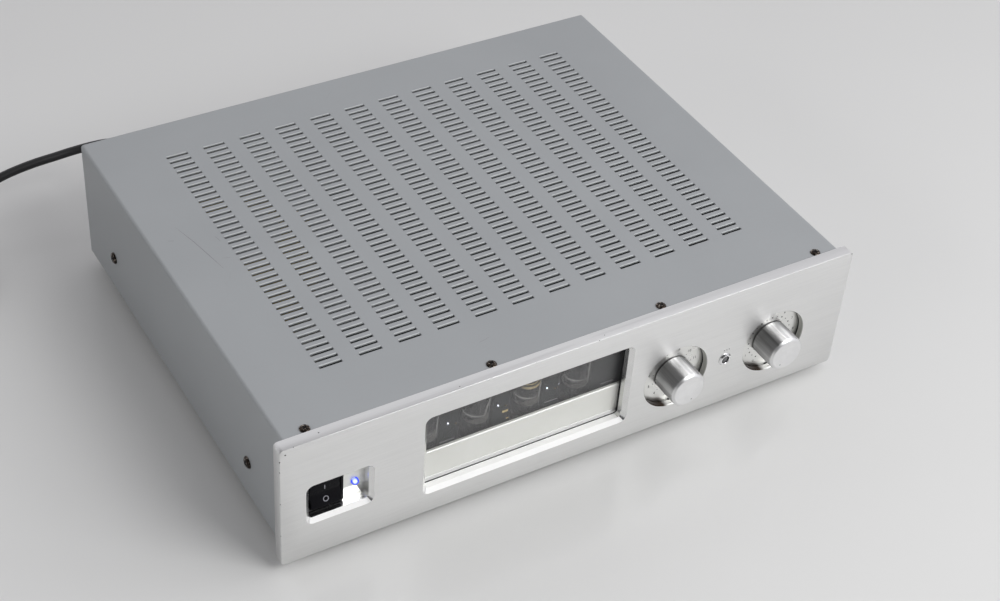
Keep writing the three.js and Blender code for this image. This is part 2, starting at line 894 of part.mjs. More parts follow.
// Ring core wound and taped, held down by a dished washer and a bolt
function transformer() {
  const base = trayTop + seam;
  const top = base + toroidHeight;
  const corner = (radius, z, startShare) => [0, 1 / 8, 1 / 4].map((share) => {
    const angle = (startShare + share) * 2 * Math.PI;
    return [radius + toroidRound * Math.cos(angle) / 2, z + toroidRound * Math.sin(angle)];
  });
  const outerX = toroidOuter - toroidRound / 2;
  const innerX = toroidInner + toroidRound / 2;
  const profile = [
    ...corner(outerX, base + toroidRound, 3 / 4),
    ...corner(outerX, top - toroidRound, 0),
    ...corner(innerX, top - toroidRound, 1 / 4),
    ...corner(innerX, base + toroidRound, 1 / 2),
  ];
  place('transformer', turnedZ([...profile, profile[0]], toroidX, toroidY, smallSides), tapeYellow);
  place('transformer_clamp', turnedZ([
    [0, base],
    [clampBoltRadius, base],
    [clampBoltRadius, top + seam],
    [clampRadius, top + seam],
    [clampRadius, top + seam + clampThickness],
    [clampHeadRadius, top + seam + clampThickness],
    [clampHeadRadius, top + seam + clampThickness + clampHeadHeight],
    [0, top + seam + clampThickness + clampHeadHeight],
  ], toroidX, toroidY, smallSides), zincSteel);
}

function capacitors() {
  const base = boardTop + seam;
  const top = base + capacitorHeight;
  const middleX = (supplyBoard.left + supplyBoard.right) / 2;
  const middleY = (supplyBoard.front + supplyBoard.back) / 2;
  [-1, 1].forEach((side, i) => {
    place(`filter_capacitor_${i + 1}`, turnedZ([
      [0, base],
      [capacitorRadius, base],
      [capacitorRadius, top - capacitorRound],
      [capacitorRadius - capacitorRound, top],
      [0, top],
    ], middleX + side * capacitorPitch / 2, middleY, smallSides), sleeveBlack);
  });
}

// Comb-shaped heat sinks standing on the tray along the right side
function heatSinks() {
  const z = trayTop + seam;
  const right = insideHalf - sheet - seam - seam;
  const pitch = (heatSinkLength - heatSinkFin) / (heatSinkFins - 1);
  const firstFront = mainBoard.front + heatSinkBase;
  const fronts = [firstFront, firstFront + heatSinkLength + heatSinkReach];
  fronts.forEach((front, i) => {
    const left = right - heatSinkReach + heatSinkBase;
    const points = [[right, front], [right, front + heatSinkLength]];
    for (let fin = heatSinkFins - 1; fin >= 0; fin -= 1) {
      const y = front + fin * pitch;
      points.push([left, y + heatSinkFin], [left, y]);
      if (fin > 0) {
        points.push([right - heatSinkBase, y], [right - heatSinkBase, y - pitch + heatSinkFin]);
      }
    }
    const shape = new THREE.Shape(points.map(([x, y]) => new THREE.Vector2(x, y)));
    const geometry = new THREE.ExtrudeGeometry(shape, { depth: heatSinkHeight, bevelEnabled: false });
    place(`heat_sink_${i + 1}`, geometry.translate(0, 0, z), blackPlastic);
  });
}

// Outline of the inlet's cavity and of the connector that fits it, with two cut corners
function inletOutline(inset) {
  const halfWidth = inletCavityWidth / 2 - inset;
  const halfHeight = inletCavityHeight / 2 - inset;
  const corner = inletCornerCut;
  return [
    [inletX - halfWidth, inletHeight - halfHeight],
    [inletX + halfWidth, inletHeight - halfHeight],
    [inletX + halfWidth, inletHeight + halfHeight - corner],
    [inletX + halfWidth - corner, inletHeight + halfHeight],
    [inletX - halfWidth + corner, inletHeight + halfHeight],
    [inletX - halfWidth, inletHeight + halfHeight - corner],
  ];
}

function mainsInlet() {
  const flangeFront = rearFace + seam;
  const flangeBack = flangeFront + inletFlangeThickness;
  const flange = slab(roundedShape(
    inletX - inletFlangeWidth / 2,
    inletX + inletFlangeWidth / 2,
    inletHeight - inletFlangeHeight / 2,
    inletHeight + inletFlangeHeight / 2,
    inletFlangeThickness,
  ), flangeFront, inletFlangeThickness);
  const body = block(
    inletX - inletBodyWidth / 2,
    inletX + inletBodyWidth / 2,
    flangeFront - inletBodyDepth,
    flangeFront + inletFlangeThickness / 2,
    inletHeight - inletBodyHeight / 2,
    inletHeight + inletBodyHeight / 2,
  );
  const cavity = loft([
    ringAt(inletOutline(0), flangeBack - inletCavityDepth),
    ringAt(inletOutline(0), flangeBack + overrun),
  ]);
  place('mains_inlet', cut(join(flange, body), cavity), blackPlastic);
}

// Centres of the input jacks
function jackPlaces() {
  const places = [];
  for (let column = 0; column < jackColumns; column += 1) {
    for (let row = 0; row < jackRows; row += 1) {
      const x = jackX + (column - (jackColumns - 1) / 2) * jackPitchX;
      places.push([x, jackHeight + (row - (jackRows - 1) / 2) * jackPitchZ]);
    }
  }
  return places;
}

function inputJacks() {
  const front = rearFront - seam - jackBlockDepth;
  const back = rearFront - seam;
  const halfX = (jackColumns - 1) * jackPitchX / 2 + jackBlockMargin;
  const halfZ = (jackRows - 1) * jackPitchZ / 2 + jackBlockMargin;
  const body = block(jackX - halfX, jackX + halfX, front, back, jackHeight - halfZ, jackHeight + halfZ);
  const tip = rearFace + jackReach;
  const root = back - jackBlockDepth / 2;
  const barrels = jackPlaces().map(([x, z]) => rod(jackRadius, x, z, root, tip, tinySides));
  const bores = jackPlaces().map(([x, z]) => rod(jackBore, x, z, tip - jackReach, tip + overrun, studSides));
  place('input_jacks', cut(join(body, ...barrels), ...bores), blackPlastic);
}

// Speaker terminals: a fixed post through the panel and a cap that screws on it
function speakerTerminals() {
  postPlaces.forEach((x, i) => {
    const nut = rearFront - seam;
    place(`speaker_post_${i + 1}`, turnedY([
      [0, nut - postTail],
      [postStudRadius, nut - postTail],
      [postStudRadius, rearFace + seam],
      [postCollarRadius, rearFace + seam],
      [postCollarRadius, rearFace + postCollarReach],
      [postStudRadius, rearFace + postCollarReach],
      [postStudRadius, capBack - capLipLength],
      [0, capBack - capLipLength],
    ], x, postHeight, tinySides), chrome);
    const bore = postStudRadius + runningGap;
    place(`speaker_cap_${i + 1}`, turnedY([
      [bore, capFront],
      [capRadius - capEdge, capFront],
      [capRadius, capFront + capEdge],
      [capRadius, capBack - capEdge],
      [capRadius - capEdge, capBack],
      [bore, capBack],
      [bore, capFront],
    ], x, postHeight, tinySides), blackPlastic);
  });
}

// Connector in the inlet, with its nose, body and tapered strain relief
function cordConnector() {
  const flangeBack = rearFace + seam + inletFlangeThickness;
  const face = flangeBack + seam;
  const back = face + connectorReach;
  const exit = rearFace + leadExitReach;
  const outline = (inset) => roundedCorners(
    inletX - connectorWidth / 2 + inset,
    inletX + connectorWidth / 2 - inset,
    inletHeight - connectorHeight / 2 + inset,
    inletHeight + connectorHeight / 2 - inset,
    connectorRound,
  );
  const body = loft([
    ringAt(outline(0), face),
    ringAt(outline(0), back - connectorRound),
    ringAt(outline(connectorRound / 2), back),
  ]);
  const nose = loft([
    ringAt(inletOutline(noseGap), face - noseLength),
    ringAt(inletOutline(noseGap), face + overrun),
  ]);
  const relief = turnedY([
    [0, back - overrun],
    [reliefFrontRadius, back - overrun],
    [reliefBackRadius, exit - seam],
    [0, exit - seam],
  ], inletX, inletHeight, tinySides);
  place('cord_connector', join(body, nose, relief), blackRubber);
}

// Tube of even thickness along given centres, its first ring facing a given way
function tubeThrough(centres, sides, radius) {
  const tangents = centres.map((_, i) => {
    const before = centres[Math.max(i - 1, 0)];
    const after = centres[Math.min(i + 1, centres.length - 1)];
    return after.clone().sub(before).normalize();
  });
  const up = new THREE.Vector3(0, 0, 1);
  const rings = centres.map((centre, i) => {
    const across = up.clone().cross(tangents[i]).normalize();
    const over = tangents[i].clone().cross(across).normalize();
    return Array.from({ length: sides }, (_, k) => {
      const angle = ((k + 1 / 2) / sides) * 2 * Math.PI;
      return centre.clone()
        .addScaledVector(across, radius * Math.cos(angle))
        .addScaledVector(over, radius * Math.sin(angle));
    });
  });
  return loft(rings);
}

// Turns of the coil: spiral in on the lower layer, climb in the half turn where
// the spiral reverses, spiral out on the upper layer
function coilCentres() {
  const innerRadius = coilMiddleRadius - coilPitch * coilTurns / 4;
  const steps = Math.round(coilTurns * coilSteps);
  const centres = [];
  for (let i = 0; i <= steps; i += 1) {
    const turn = i / coilSteps;
    const fromMiddle = turn - coilTurns / 2;
    const radius = innerRadius + coilPitch * Math.abs(fromMiddle);
    const climb = THREE.MathUtils.clamp(2 * fromMiddle + 1 / 2, 0, 1);
    const angle = Math.PI / 2 + turn * 2 * Math.PI;
    centres.push(new THREE.Vector3(
      coilX + radius * Math.cos(angle),
      coilY + radius * Math.sin(angle),
      coilLift + coilPitch * THREE.MathUtils.smoothstep(climb, 0, 1),
    ));
  }
  const straight = 2 * cordRadius;
  const start = centres[0].clone().add(new THREE.Vector3(straight, 0, 0));
  const end = centres[centres.length - 1].clone().add(new THREE.Vector3(0, -straight, 0));
  return [start, ...centres, end];
}

function leastSelfGap(centres) {
  let least = Infinity;
  const apart = Math.round(coilSteps / 2);
  for (let i = 0; i < centres.length; i += 1) {
    for (let k = i + apart; k < centres.length; k += 1) {
      least = Math.min(least, centres[i].distanceTo(centres[k]));
    }
  }
  return least - 2 * cordRadius;
}

// Centres of the free stretch: straight at both ends, through the chosen points between
function leadCentres(coilStart) {
  const straight = 2 * cordRadius;
  const exit = new THREE.Vector3(inletX, rearFace + leadExitReach, inletHeight);
  const first = exit.clone().add(new THREE.Vector3(0, straight, 0));
  const last = coilStart.clone().add(new THREE.Vector3(straight, 0, 0));
  const middle = leadRoute.map(([x, y, z]) => new THREE.Vector3(inletX + x, rearFace + y, z));
  const curve = new THREE.CatmullRomCurve3([first, ...middle, last], false, 'centripetal');
  const steps = Math.ceil(curve.getLength() / (5 * cordRadius));
  return [exit, ...curve.getSpacedPoints(steps), coilStart];
}

function lengthOf(centres) {
  return centres.slice(1).reduce((sum, centre, i) => sum + centre.distanceTo(centres[i]), 0);
}

function mainsLead() {
  const centres = coilCentres();
  console.log('least gap of the coil to itself', leastSelfGap(centres).toFixed(2), 'mm');
  place('cord_coil', tubeThrough(centres, cordSides, cordRadius), blackRubber);
  const lead = leadCentres(centres[0].clone().add(new THREE.Vector3(seam, 0, 0)));
  place('cord_lead', tubeThrough(lead, cordSides + 2, cordRadius), blackRubber);
  console.log('length of the lead', (lengthOf(lead) + lengthOf(centres)).toFixed(0), 'mm');
  cordTies(centres);
  mainsPlug(centres[centres.length - 1]);
}

// Two flat straps round the bundle of turns, at the near and the far side of the coil
function cordTies(centres) {
  const radii = centres.map((c) => Math.hypot(c.x - coilX, c.y - coilY));
  const inner = Math.min(...radii) - cordRadius - seam;
  const outer = coilMiddleRadius + coilPitch * coilTurns / 4 + cordRadius + seam;
  const low = tieLift + tieThickness;
  const high = coilLift + coilPitch + cordRadius + seam;
  [['cord_tie_1', -1], ['cord_tie_2', 1]].forEach(([name, side]) => {
    const strap = (grow) => block(
      coilX - tieWidth / 2 - (grow ? 0 : overrun),
      coilX + tieWidth / 2 + (grow ? 0 : overrun),
      side > 0 ? coilY + inner - grow : coilY - outer - grow,
      side > 0 ? coilY + outer + grow : coilY - inner + grow,
      low - grow,
      high + grow,
    );
    place(name, cut(strap(tieThickness), strap(0)), blackRubber);
  });
}

// Plug lying on the table beside the coil, in line with the end of the cord
function mainsPlug(coilEnd) {
  const start = coilEnd.y - seam;
  const body = start - plugReliefLength;
  const front = body - plugLength;
  const halfHeight = coilEnd.z - tieLift;
  const outline = (inset) => roundedCorners(
    coilEnd.x - plugWidth / 2 + inset,
    coilEnd.x + plugWidth / 2 - inset,
    coilEnd.z - halfHeight + inset,
    coilEnd.z + halfHeight - inset,
    plugRound,
  );
  const shell = loft([
    ringAt(outline(plugRound / 5), front),
    ringAt(outline(0), front + plugRound / 5),
    ringAt(outline(0), body - plugLength / 3),
    ringAt(outline(plugRound / 2), body),
  ]);
  const relief = turnedY([
    [0, body - overrun],
    [reliefFrontRadius, body - overrun],
    [reliefBackRadius, start],
    [0, start],
  ], coilEnd.x, coilEnd.z, tinySides);
  const blades = [-1, 1].map((side) => block(
    coilEnd.x + side * bladeSpacing / 2 - bladeThickness / 2,
    coilEnd.x + side * bladeSpacing / 2 + bladeThickness / 2,
    front - bladeLength,
    front + overrun,
    coilEnd.z - bladeWidth / 2,
    coilEnd.z + bladeWidth / 2,
  ));
  const earthZ = coilEnd.z + earthRise;
  const earth = rod(earthRadius, coilEnd.x, earthZ, front - earthLength, front + overrun, tinySides);
  place('mains_plug', join(shell, relief, ...blades, earth), blackRubber);
}

frontPanel();
frontPlate();
windowGlass();
topCover();
chassisTray();
rearPanel();
feet();
knob('select_knob', selectX, selectMarkDegrees);
knob('volume_knob', volumeX, volumeMarkDegrees);
shaft('select_shaft', selectX);
shaft('volume_shaft', volumeX);
control('select_switch', selectX, selectBody);
control('volume_control', volumeX, volumeBody);
powerSwitch();
powerRocker();
powerLamp();
sensor();
boards();
tubes();
transformer();
capacitors();
heatSinks();
mainsInlet();
inputJacks();
speakerTerminals();
cordConnector();
mainsLead();

// The origin is the middle of the amplifier's base, from the knob fronts to the terminals
group.position.y = (knobReach - capBack) / 2;

export default group;
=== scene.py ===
"""Full-width tube amplifier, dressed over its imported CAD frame.

Metres, +X to the right as seen from the front, +Y to the back, +Z up. Places are given in
millimetres in the frame of the drawing, where y = 0 is the front panel's face and z = 0 the
table, and at() turns them into the shared frame.
"""
from math import acos, atan2, cos, pi, radians, sin, tan

import bmesh
import bpy
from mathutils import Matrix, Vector


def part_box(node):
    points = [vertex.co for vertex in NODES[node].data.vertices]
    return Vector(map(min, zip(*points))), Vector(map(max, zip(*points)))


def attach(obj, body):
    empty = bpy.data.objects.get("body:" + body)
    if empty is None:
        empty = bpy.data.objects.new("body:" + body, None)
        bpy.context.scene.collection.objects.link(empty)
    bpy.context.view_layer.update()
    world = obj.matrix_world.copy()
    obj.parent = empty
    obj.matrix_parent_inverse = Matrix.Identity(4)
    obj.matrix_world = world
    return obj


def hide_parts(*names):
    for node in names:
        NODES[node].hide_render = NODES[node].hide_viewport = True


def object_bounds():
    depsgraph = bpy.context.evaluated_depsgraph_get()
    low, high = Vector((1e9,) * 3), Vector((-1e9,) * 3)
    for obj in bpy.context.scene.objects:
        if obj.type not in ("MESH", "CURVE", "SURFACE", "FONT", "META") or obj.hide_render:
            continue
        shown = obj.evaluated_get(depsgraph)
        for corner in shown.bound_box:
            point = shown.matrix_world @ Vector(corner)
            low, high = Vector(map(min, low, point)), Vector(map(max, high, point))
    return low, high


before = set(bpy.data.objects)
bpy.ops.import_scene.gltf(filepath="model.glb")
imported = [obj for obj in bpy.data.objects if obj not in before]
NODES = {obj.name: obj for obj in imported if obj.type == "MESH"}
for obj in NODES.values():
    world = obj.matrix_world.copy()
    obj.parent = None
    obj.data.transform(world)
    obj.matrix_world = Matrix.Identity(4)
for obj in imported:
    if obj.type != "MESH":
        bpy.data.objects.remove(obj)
CAD_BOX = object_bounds()
MM = 0.001
PANEL_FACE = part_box("front_panel")[0].y


def at(x, y, z):
    """A place in millimetres of the drawing as a vector in the shared frame."""
    return Vector((x * MM, PANEL_FACE + y * MM, z * MM))


def add_object(name, data):
    obj = bpy.data.objects.new(name, data)
    bpy.context.scene.collection.objects.link(obj)
    return obj


# Camera, fitted to the photograph's straight edges and its grid of slots

CAMERA_PLACE = (-0.538056, -0.895091, 0.893227)
CAMERA_TURN = (0.869263, -0.061566, -0.528046)
CAMERA_FOCAL = 67.798
CAMERA_SHIFT = (-0.006234, 0.000981)


def make_camera():
    data = bpy.data.cameras.new("view_camera")
    data.sensor_width = 36
    data.lens = CAMERA_FOCAL
    data.shift_x, data.shift_y = CAMERA_SHIFT
    data.clip_start, data.clip_end = 0.05, 50
    camera = add_object("view_camera", data)
    camera.location = CAMERA_PLACE
    camera.rotation_euler = CAMERA_TURN
    bpy.context.scene.camera = camera


make_camera()


# Node materials


def grey(level, blue):
    """A grey made a little warmer or cooler by its blue part."""
    return level, level, blue


def rgba(shade):
    """A colour from three numbers, or a grey from one."""
    return (*shade, 1) if isinstance(shade, tuple) else (shade, shade, shade, 1)


class Tree:
    """Short calls for the nodes of the world or of a material."""

    def __init__(self, owner, coordinates):
        owner.use_nodes = True
        self.nodes, self.links = owner.node_tree.nodes, owner.node_tree.links
        self.place = self.nodes.new("ShaderNodeTexCoord").outputs[coordinates]

    def put(self, socket, value):
        """Feeds a socket from another one, or sets it."""
        if isinstance(value, bpy.types.NodeSocket):
            self.links.new(value, socket)
        else:
            socket.default_value = value

    def node(self, kind, output, inputs, **settings):
        """An output of a new node, its settings made and its sockets fed or set."""
        node = self.nodes.new("ShaderNode" + kind)
        for key, value in settings.items():
            setattr(node, key, value)
        for key, value in inputs.items():
            self.put(node.inputs[key], value)
        return node.outputs[output]

    def mapped(self, scale, turn=(0, 0, 0), shift=(0, 0, 0)):
        inputs = {"Vector": self.place, "Scale": scale, "Rotation": turn, "Location": shift}
        return self.node("Mapping", "Vector", inputs)

    def noise(self, scale=1.0, detail=4, roughness=0.5, vector=None):
        inputs = {"Scale": scale, "Detail": detail, "Roughness": roughness}
        inputs["Vector"] = self.place if vector is None else vector
        return self.node("TexNoise", "Fac", inputs)

    def wave(self, vector, scale, distortion, kind="bands", direction="Y"):
        inputs = {"Vector": vector, "Scale": scale, "Distortion": distortion}
        settings = {"wave_type": kind.upper(), kind + "_direction": direction}
        return self.node("TexWave", "Fac", inputs, **settings)

    def ramp(self, value, *stops):
        """A colour ramp from (position, colour) or (position, grey level) pairs."""
        colour = self.node("ValToRGB", "Color", {"Fac": value})
        points = colour.node.color_ramp.elements
        while len(points) < len(stops):
            points.new(0.5)
        for point, (position, shade) in zip(points, stops):
            point.position = position
            point.color = rgba(shade)
        return colour

    def maths(self, operation, first, second):
        return self.node("Math", 0, {0: first, 1: second}, operation=operation)

    def mix(self, share, first, second):
        """Two colours or sockets mixed: the Mix node's sockets 6 and 7 are its colours."""
        first, second = (rgba(v) if isinstance(v, tuple) else v for v in (first, second))
        return self.node("Mix", 2, {0: share, 6: first, 7: second}, data_type="RGBA")

    def between(self, value, low, high, first=0.0, last=1.0):
        """Maps the range from first to last to the range from low to high."""
        inputs = {"Value": value, "From Min": first, "From Max": last}
        return self.node("MapRange", "Result", inputs | {"To Min": low, "To Max": high})

    def bump(self, height, strength, distance, base=None):
        inputs = {"Strength": strength, "Distance": distance, "Height": height}
        if base is not None:
            inputs["Normal"] = base
        return self.node("Bump", "Normal", inputs)

    def rounded(self, radius=0.0002):
        """Normals that round every hard edge a little."""
        return self.node("Bevel", "Normal", {"Radius": radius}, samples=4)

    def facing(self, blend):
        return self.node("LayerWeight", "Facing", {"Blend": blend})

    def axis(self, name):
        return self.node("SeparateXYZ", name, {0: self.place})


class Shader(Tree):
    """A Principled material. Its sockets are named with _ for each space."""

    def __init__(self, name, **values):
        self.material = bpy.data.materials.new(name)
        super().__init__(self.material, "Object")
        self.feed(**values)

    def feed(self, **sockets):
        bsdf = self.nodes["Principled BSDF"]
        for key, value in sockets.items():
            self.put(bsdf.inputs[key.replace("_", " ")], value)
        return self.material

    def finish(self, tone, rough, normal, **sockets):
        return self.feed(Base_Color=tone, Roughness=rough, Normal=normal, **sockets)


def brushed_aluminium():
    """Long fine scratches along X, a few of them bright, with soft blotches."""
    s = Shader("brushed_aluminium", Metallic=1.0, Anisotropic=0.65, Anisotropic_Rotation=0.25)
    fine = s.noise(1, 4, 0.7, s.mapped((45, 900, 1500)))
    long = s.noise(1, 4, 0.65, s.mapped((14, 200, 420)))
    cloud = s.noise(14, 3)
    tone = s.mix(s.ramp(long, (0.3, 0.0), (0.75, 1.0)), grey(0.735, 0.73), grey(0.775, 0.77))
    tone = s.mix(s.ramp(fine, (0.4, 0.0), (0.75, 0.4)), tone, grey(0.84, 0.835))
    tone = s.mix(s.ramp(cloud, (0.4, 0.0), (0.75, 0.2)), tone, grey(0.71, 0.70))
    rough = s.between(s.mix(0.5, fine, cloud), 0.27, 0.43)
    normal = s.bump(long, 0.06, 0.00008, s.bump(fine, 0.16, 0.00005))
    return s.finish(tone, rough, normal)


def cut_aluminium():
    """Machined bevels and walls of the milled openings, with faint cutter chatter."""
    s = Shader("cut_aluminium", Metallic=1.0)
    chatter = s.bump(s.wave(s.place, 700, 2.5, direction="DIAGONAL"), 0.04, 0.00005)
    cloud = s.noise(120)
    tone = s.ramp(cloud, (0.3, grey(0.86, 0.855)), (0.8, grey(0.93, 0.925)))
    return s.finish(tone, s.between(cloud, 0.2, 0.3), chatter)


def turned_floor(name, x, z):
    """Face-turned floor of a knob recess: fine rings round its centre."""
    s = Shader(name, Metallic=1.0)
    rings = s.wave(s.mapped((1, 1, 1), shift=tuple(-at(x, 0, z))), 480, 0.4, kind="rings")
    cloud = s.noise(60)
    tone = s.ramp(s.mix(0.5, rings, cloud), (0.2, grey(0.74, 0.72)), (0.85, grey(0.82, 0.80)))
    normal = s.bump(rings, 0.03, 0.00004)
    return s.finish(tone, s.between(cloud, 0.24, 0.32), normal)


def cover_paint():
    """Satin grey paint with an even fine grain, faint clouding and a few rubbed marks."""
    s = Shader("cover_paint", Metallic=0.2, Specular_IOR_Level=0.45)
    cloud = s.noise(9, 4, 0.55)
    grain = s.noise(900, 2)
    share = s.ramp(cloud, (0.35, 0.0), (0.7, 1.0))
    tone = s.mix(share, (0.352, 0.366, 0.376), (0.378, 0.393, 0.403))
    tone = s.mix(s.between(grain, 0.0, 0.12), tone, (0.26, 0.27, 0.28))
    cells = {"Vector": s.mapped((3, 18, 3), (0, 0, 0.6)), "Scale": 5}
    lines = s.node("TexVoronoi", "Distance", cells, feature="DISTANCE_TO_EDGE")
    lines = s.ramp(lines, (0.0, 0.35), (0.006, 0.0))
    broken = s.ramp(s.noise(22, 3), (0.6, 0.0), (0.7, 1.0))
    tone = s.mix(s.maths("MULTIPLY", lines, broken), tone, grey(0.26, 0.27))
    normal = s.bump(grain, 0.10, 0.00004, s.rounded(0.001))
    return s.finish(tone, s.between(cloud, 0.36, 0.48), normal)


def turned_knob():
    """Lathe-turned metal: fine grooves round its depth draw the gloss out along it."""
    s = Shader("turned_knob", Metallic=1.0, Anisotropic=0.97, Anisotropic_Rotation=0.25)
    tangent = s.node("Tangent", 0, {}, direction_type="RADIAL", axis="Y")
    groove = s.wave(s.place, 900, 1.5)
    cloud = s.noise(150)
    tone = s.ramp(s.mix(0.5, groove, cloud), (0.25, 0.72), (0.8, 0.82))
    # Painted reflection: dark bands along the knob's length stand in for the dark surroundings it
    # mirrors.
    streak = s.ramp(s.noise(1, 2, 0.6, s.mapped((260, 0, 260))), (0.42, 0.0), (0.62, 0.55))
    tone = s.mix(streak, tone, grey(0.22, 0.22))
    normal = s.bump(groove, 0.05, 0.00003)
    return s.finish(tone, s.between(cloud, 0.36, 0.44), normal, Tangent=tangent)


def metal(name, low, high, rough, metallic=1.0, scale=60, grain=0.05):
    """Sheet metal between two tones."""
    s = Shader(name, Metallic=metallic)
    cloud = s.noise(scale)
    fine = s.noise(scale * 14, 2)
    normal = s.bump(fine, grain, 0.00005, s.rounded())
    rough = s.between(s.mix(0.5, cloud, fine), *rough)
    tone = s.ramp(cloud, (0.3, low), (0.75, high))
    return s.finish(tone, rough, normal)


def worn_screw():
    """Dark oxide on a screw head, with bright spots partly rubbed by the driver, partly painted
    highlights.
    """
    s = Shader("dark_screw", Metallic=0.9)
    spots = s.noise(620, 3)
    dark, brown, bright = (0.016, 0.013, 0.011), (0.05, 0.038, 0.03), (0.5, 0.44, 0.38)
    # The bright stop paints highlight spots as well as driver wear.
    tone = s.ramp(spots, (0.3, dark), (0.57, brown), (0.66, bright))
    return s.finish(tone, s.between(spots, 0.1, 0.26), s.rounded())


def plastic(name, low, high, rough, scale=90, grain=0.12, shine=0.5):
    """Moulded plastic or rubber with a fine spark-eroded grain."""
    s = Shader(name, Specular_IOR_Level=shine)
    cloud = s.noise(scale)
    fine = s.noise(scale * 22, 2)
    tone = s.ramp(s.mix(0.35, cloud, fine), (0.3, low), (0.8, high))
    normal = s.bump(fine, grain, 0.00006, s.rounded())
    return s.finish(tone, s.between(cloud, *rough), normal)


def recess_wall():
    """Bored wall with painted light: a brown reflection low on its left, a highlight at its foot.
    """
    s = Shader("recess_wall", Metallic=1.0)
    x, z = s.axis("X"), s.axis("Z")
    second = s.maths("GREATER_THAN", x, (SELECT_X + VOLUME_X) / 2 * MM)
    second = s.maths("MULTIPLY", second, (VOLUME_X - SELECT_X) * MM)
    across = s.maths("SUBTRACT", s.maths("SUBTRACT", x, SELECT_X * MM), second)
    angle = s.maths("ARCTAN2", s.maths("SUBTRACT", z, KNOB_Z * MM), across)
    turn = s.maths("ADD", s.maths("MULTIPLY", angle, 0.5 / pi), 0.5)
    cloud = s.noise(150)
    # Painted light by angle round the knob: a dark brown reflection of the knob's shaded underside
    # low on the left, a bright highlight at the foot.
    tone = s.ramp(
        s.maths("ADD", turn, s.between(cloud, -0.008, 0.008)),
        (0.03, grey(0.45, 0.43)), (0.06, (0.045, 0.028, 0.018)), (0.21, (0.035, 0.022, 0.014)),
        (0.232, grey(0.62, 0.60)), (0.29, grey(0.62, 0.60)), (0.33, grey(0.42, 0.40)),
    )
    return s.finish(tone, s.between(cloud, 0.3, 0.4), s.rounded())


def silver_plate():
    """Pale sheet behind the panel, glossy beside the switch, satin behind the tube window."""
    s = Shader("silver_plate", Metallic=0.4)
    fine = s.noise(600, 2)
    tone = s.ramp(s.noise(30), (0.3, (0.84, 0.845, 0.80)), (0.75, (0.88, 0.885, 0.85)))
    side = s.between(s.axis("X"), 0.14, 0.55, -0.14, -0.125)
    rough = s.maths("ADD", side, s.between(fine, -0.02, 0.04))
    normal = s.bump(fine, 0.02, 0.00005, s.rounded())
    return s.finish(tone, rough, normal)


def smoked_acrylic():
    """Smoked clear sheet with faint dust and wiping marks, its grey base a painted veil of
    reflection.
    """
    s = Shader("smoked_acrylic", IOR=1.49, Specular_IOR_Level=0.9)
    dust = s.noise(700, 3)
    wipe = s.noise(1, 4, 0.5, s.mapped((12, 12, 60), (0, 0.5, 0)))
    # The pale grey base paints the veil of reflected room light on the sheet; the dust lightens it
    # further.
    tone = s.mix(s.ramp(dust, (0.62, 0.0), (0.8, 0.5)), grey(0.30, 0.305), grey(0.42, 0.42))
    clear = s.between(s.mix(0.3, wipe, dust), 0.18, 0.25)
    return s.feed(Base_Color=tone, Roughness=s.between(wipe, 0.02, 0.08), Alpha=clear)


def clear_glass():
    """Blown glass of the tubes, slightly wavy."""
    s = Shader("tube_glass", IOR=1.75, Specular_IOR_Level=1.0)
    swell = s.noise(60, 2)
    edge = s.ramp(s.facing(0.3), (0.0, 0.25), (0.5, 0.3), (0.85, 0.55), (1.0, 0.8))
    tone = s.ramp(swell, (0.3, (0.06, 0.062, 0.062)), (0.8, (0.10, 0.102, 0.102)))
    normal = s.bump(swell, 0.08, 0.0006)
    return s.finish(tone, s.between(swell, 0.03, 0.06), normal, Alpha=edge)


def glowing(name, deep, bright, strength):
    """A lit piece: deep tone at its rim and bright tone at its middle."""
    s = Shader(name, Roughness=0.15, Emission_Strength=strength)
    tone = s.ramp(s.mix(0.15, s.facing(0.35), s.noise(900, 2)), (0.04, bright), (0.28, deep))
    return s.feed(Base_Color=tone, Emission_Color=tone)


# Places that more than one piece needs

SELECT_X = 76.0
VOLUME_X = 157.3
KNOB_Z = 47.0
SENSOR = (116.5, 46.6)
COVER_TOP = 104.0
COVER_SIDE = 209.0
REAR_FACE = 340.2
TERMINALS = (-84, -62, -2, 20)
TERMINAL_Z = 56
JACK_X = 126
JACK_PITCH = 20

PANEL = brushed_aluminium()
CUT = cut_aluminium()
WALL = recess_wall()
# Painted highlight: a lighter, barely metallic copy of the cut aluminium for the sills' upward
# faces.
PAINTED_LIT_SILL = metal("milled_sill_painted_lit", grey(0.92, 0.91), grey(0.96, 0.95), (0.5, 0.6), 0.08)
SHADE = metal("wall_in_shade", grey(0.03, 0.032), grey(0.06, 0.062), (0.3, 0.45), 0.5)
PAINT = cover_paint()
PLATE = silver_plate()
# Lighter than the paint: a painted highlight along the slots' far edges.
PAINTED_LIT_EDGE = metal("punched_edge_painted_lit", (0.50, 0.525, 0.53), (0.58, 0.605, 0.61), (0.42, 0.55), 0.05, 240)
ZINC = metal("zinc_steel", (0.52, 0.53, 0.54), (0.68, 0.69, 0.70), (0.34, 0.5), 1.0, 45, 0.1)
CHROME = metal("bright_chrome", grey(0.82, 0.83), grey(0.9, 0.91), (0.05, 0.12))
GOLD = metal("gold_plating", (0.72, 0.50, 0.16), (0.86, 0.62, 0.24), (0.12, 0.22), scale=200)
KNOB = turned_knob()
CAP = metal("satin_cap", grey(0.80, 0.805), grey(0.86, 0.865), (0.32, 0.4), scale=200)
BRONZE = worn_screw()
BLACK = plastic("black_plastic", grey(0.003, 0.004), grey(0.007, 0.009), (0.16, 0.26), shine=0.08)
LENS = plastic("sensor_lens", grey(0.10, 0.105), grey(0.18, 0.185), (0.08, 0.14))
RUBBER = plastic("foot_rubber", grey(0.012, 0.013), grey(0.024, 0.025), (0.6, 0.8), grain=0.3)
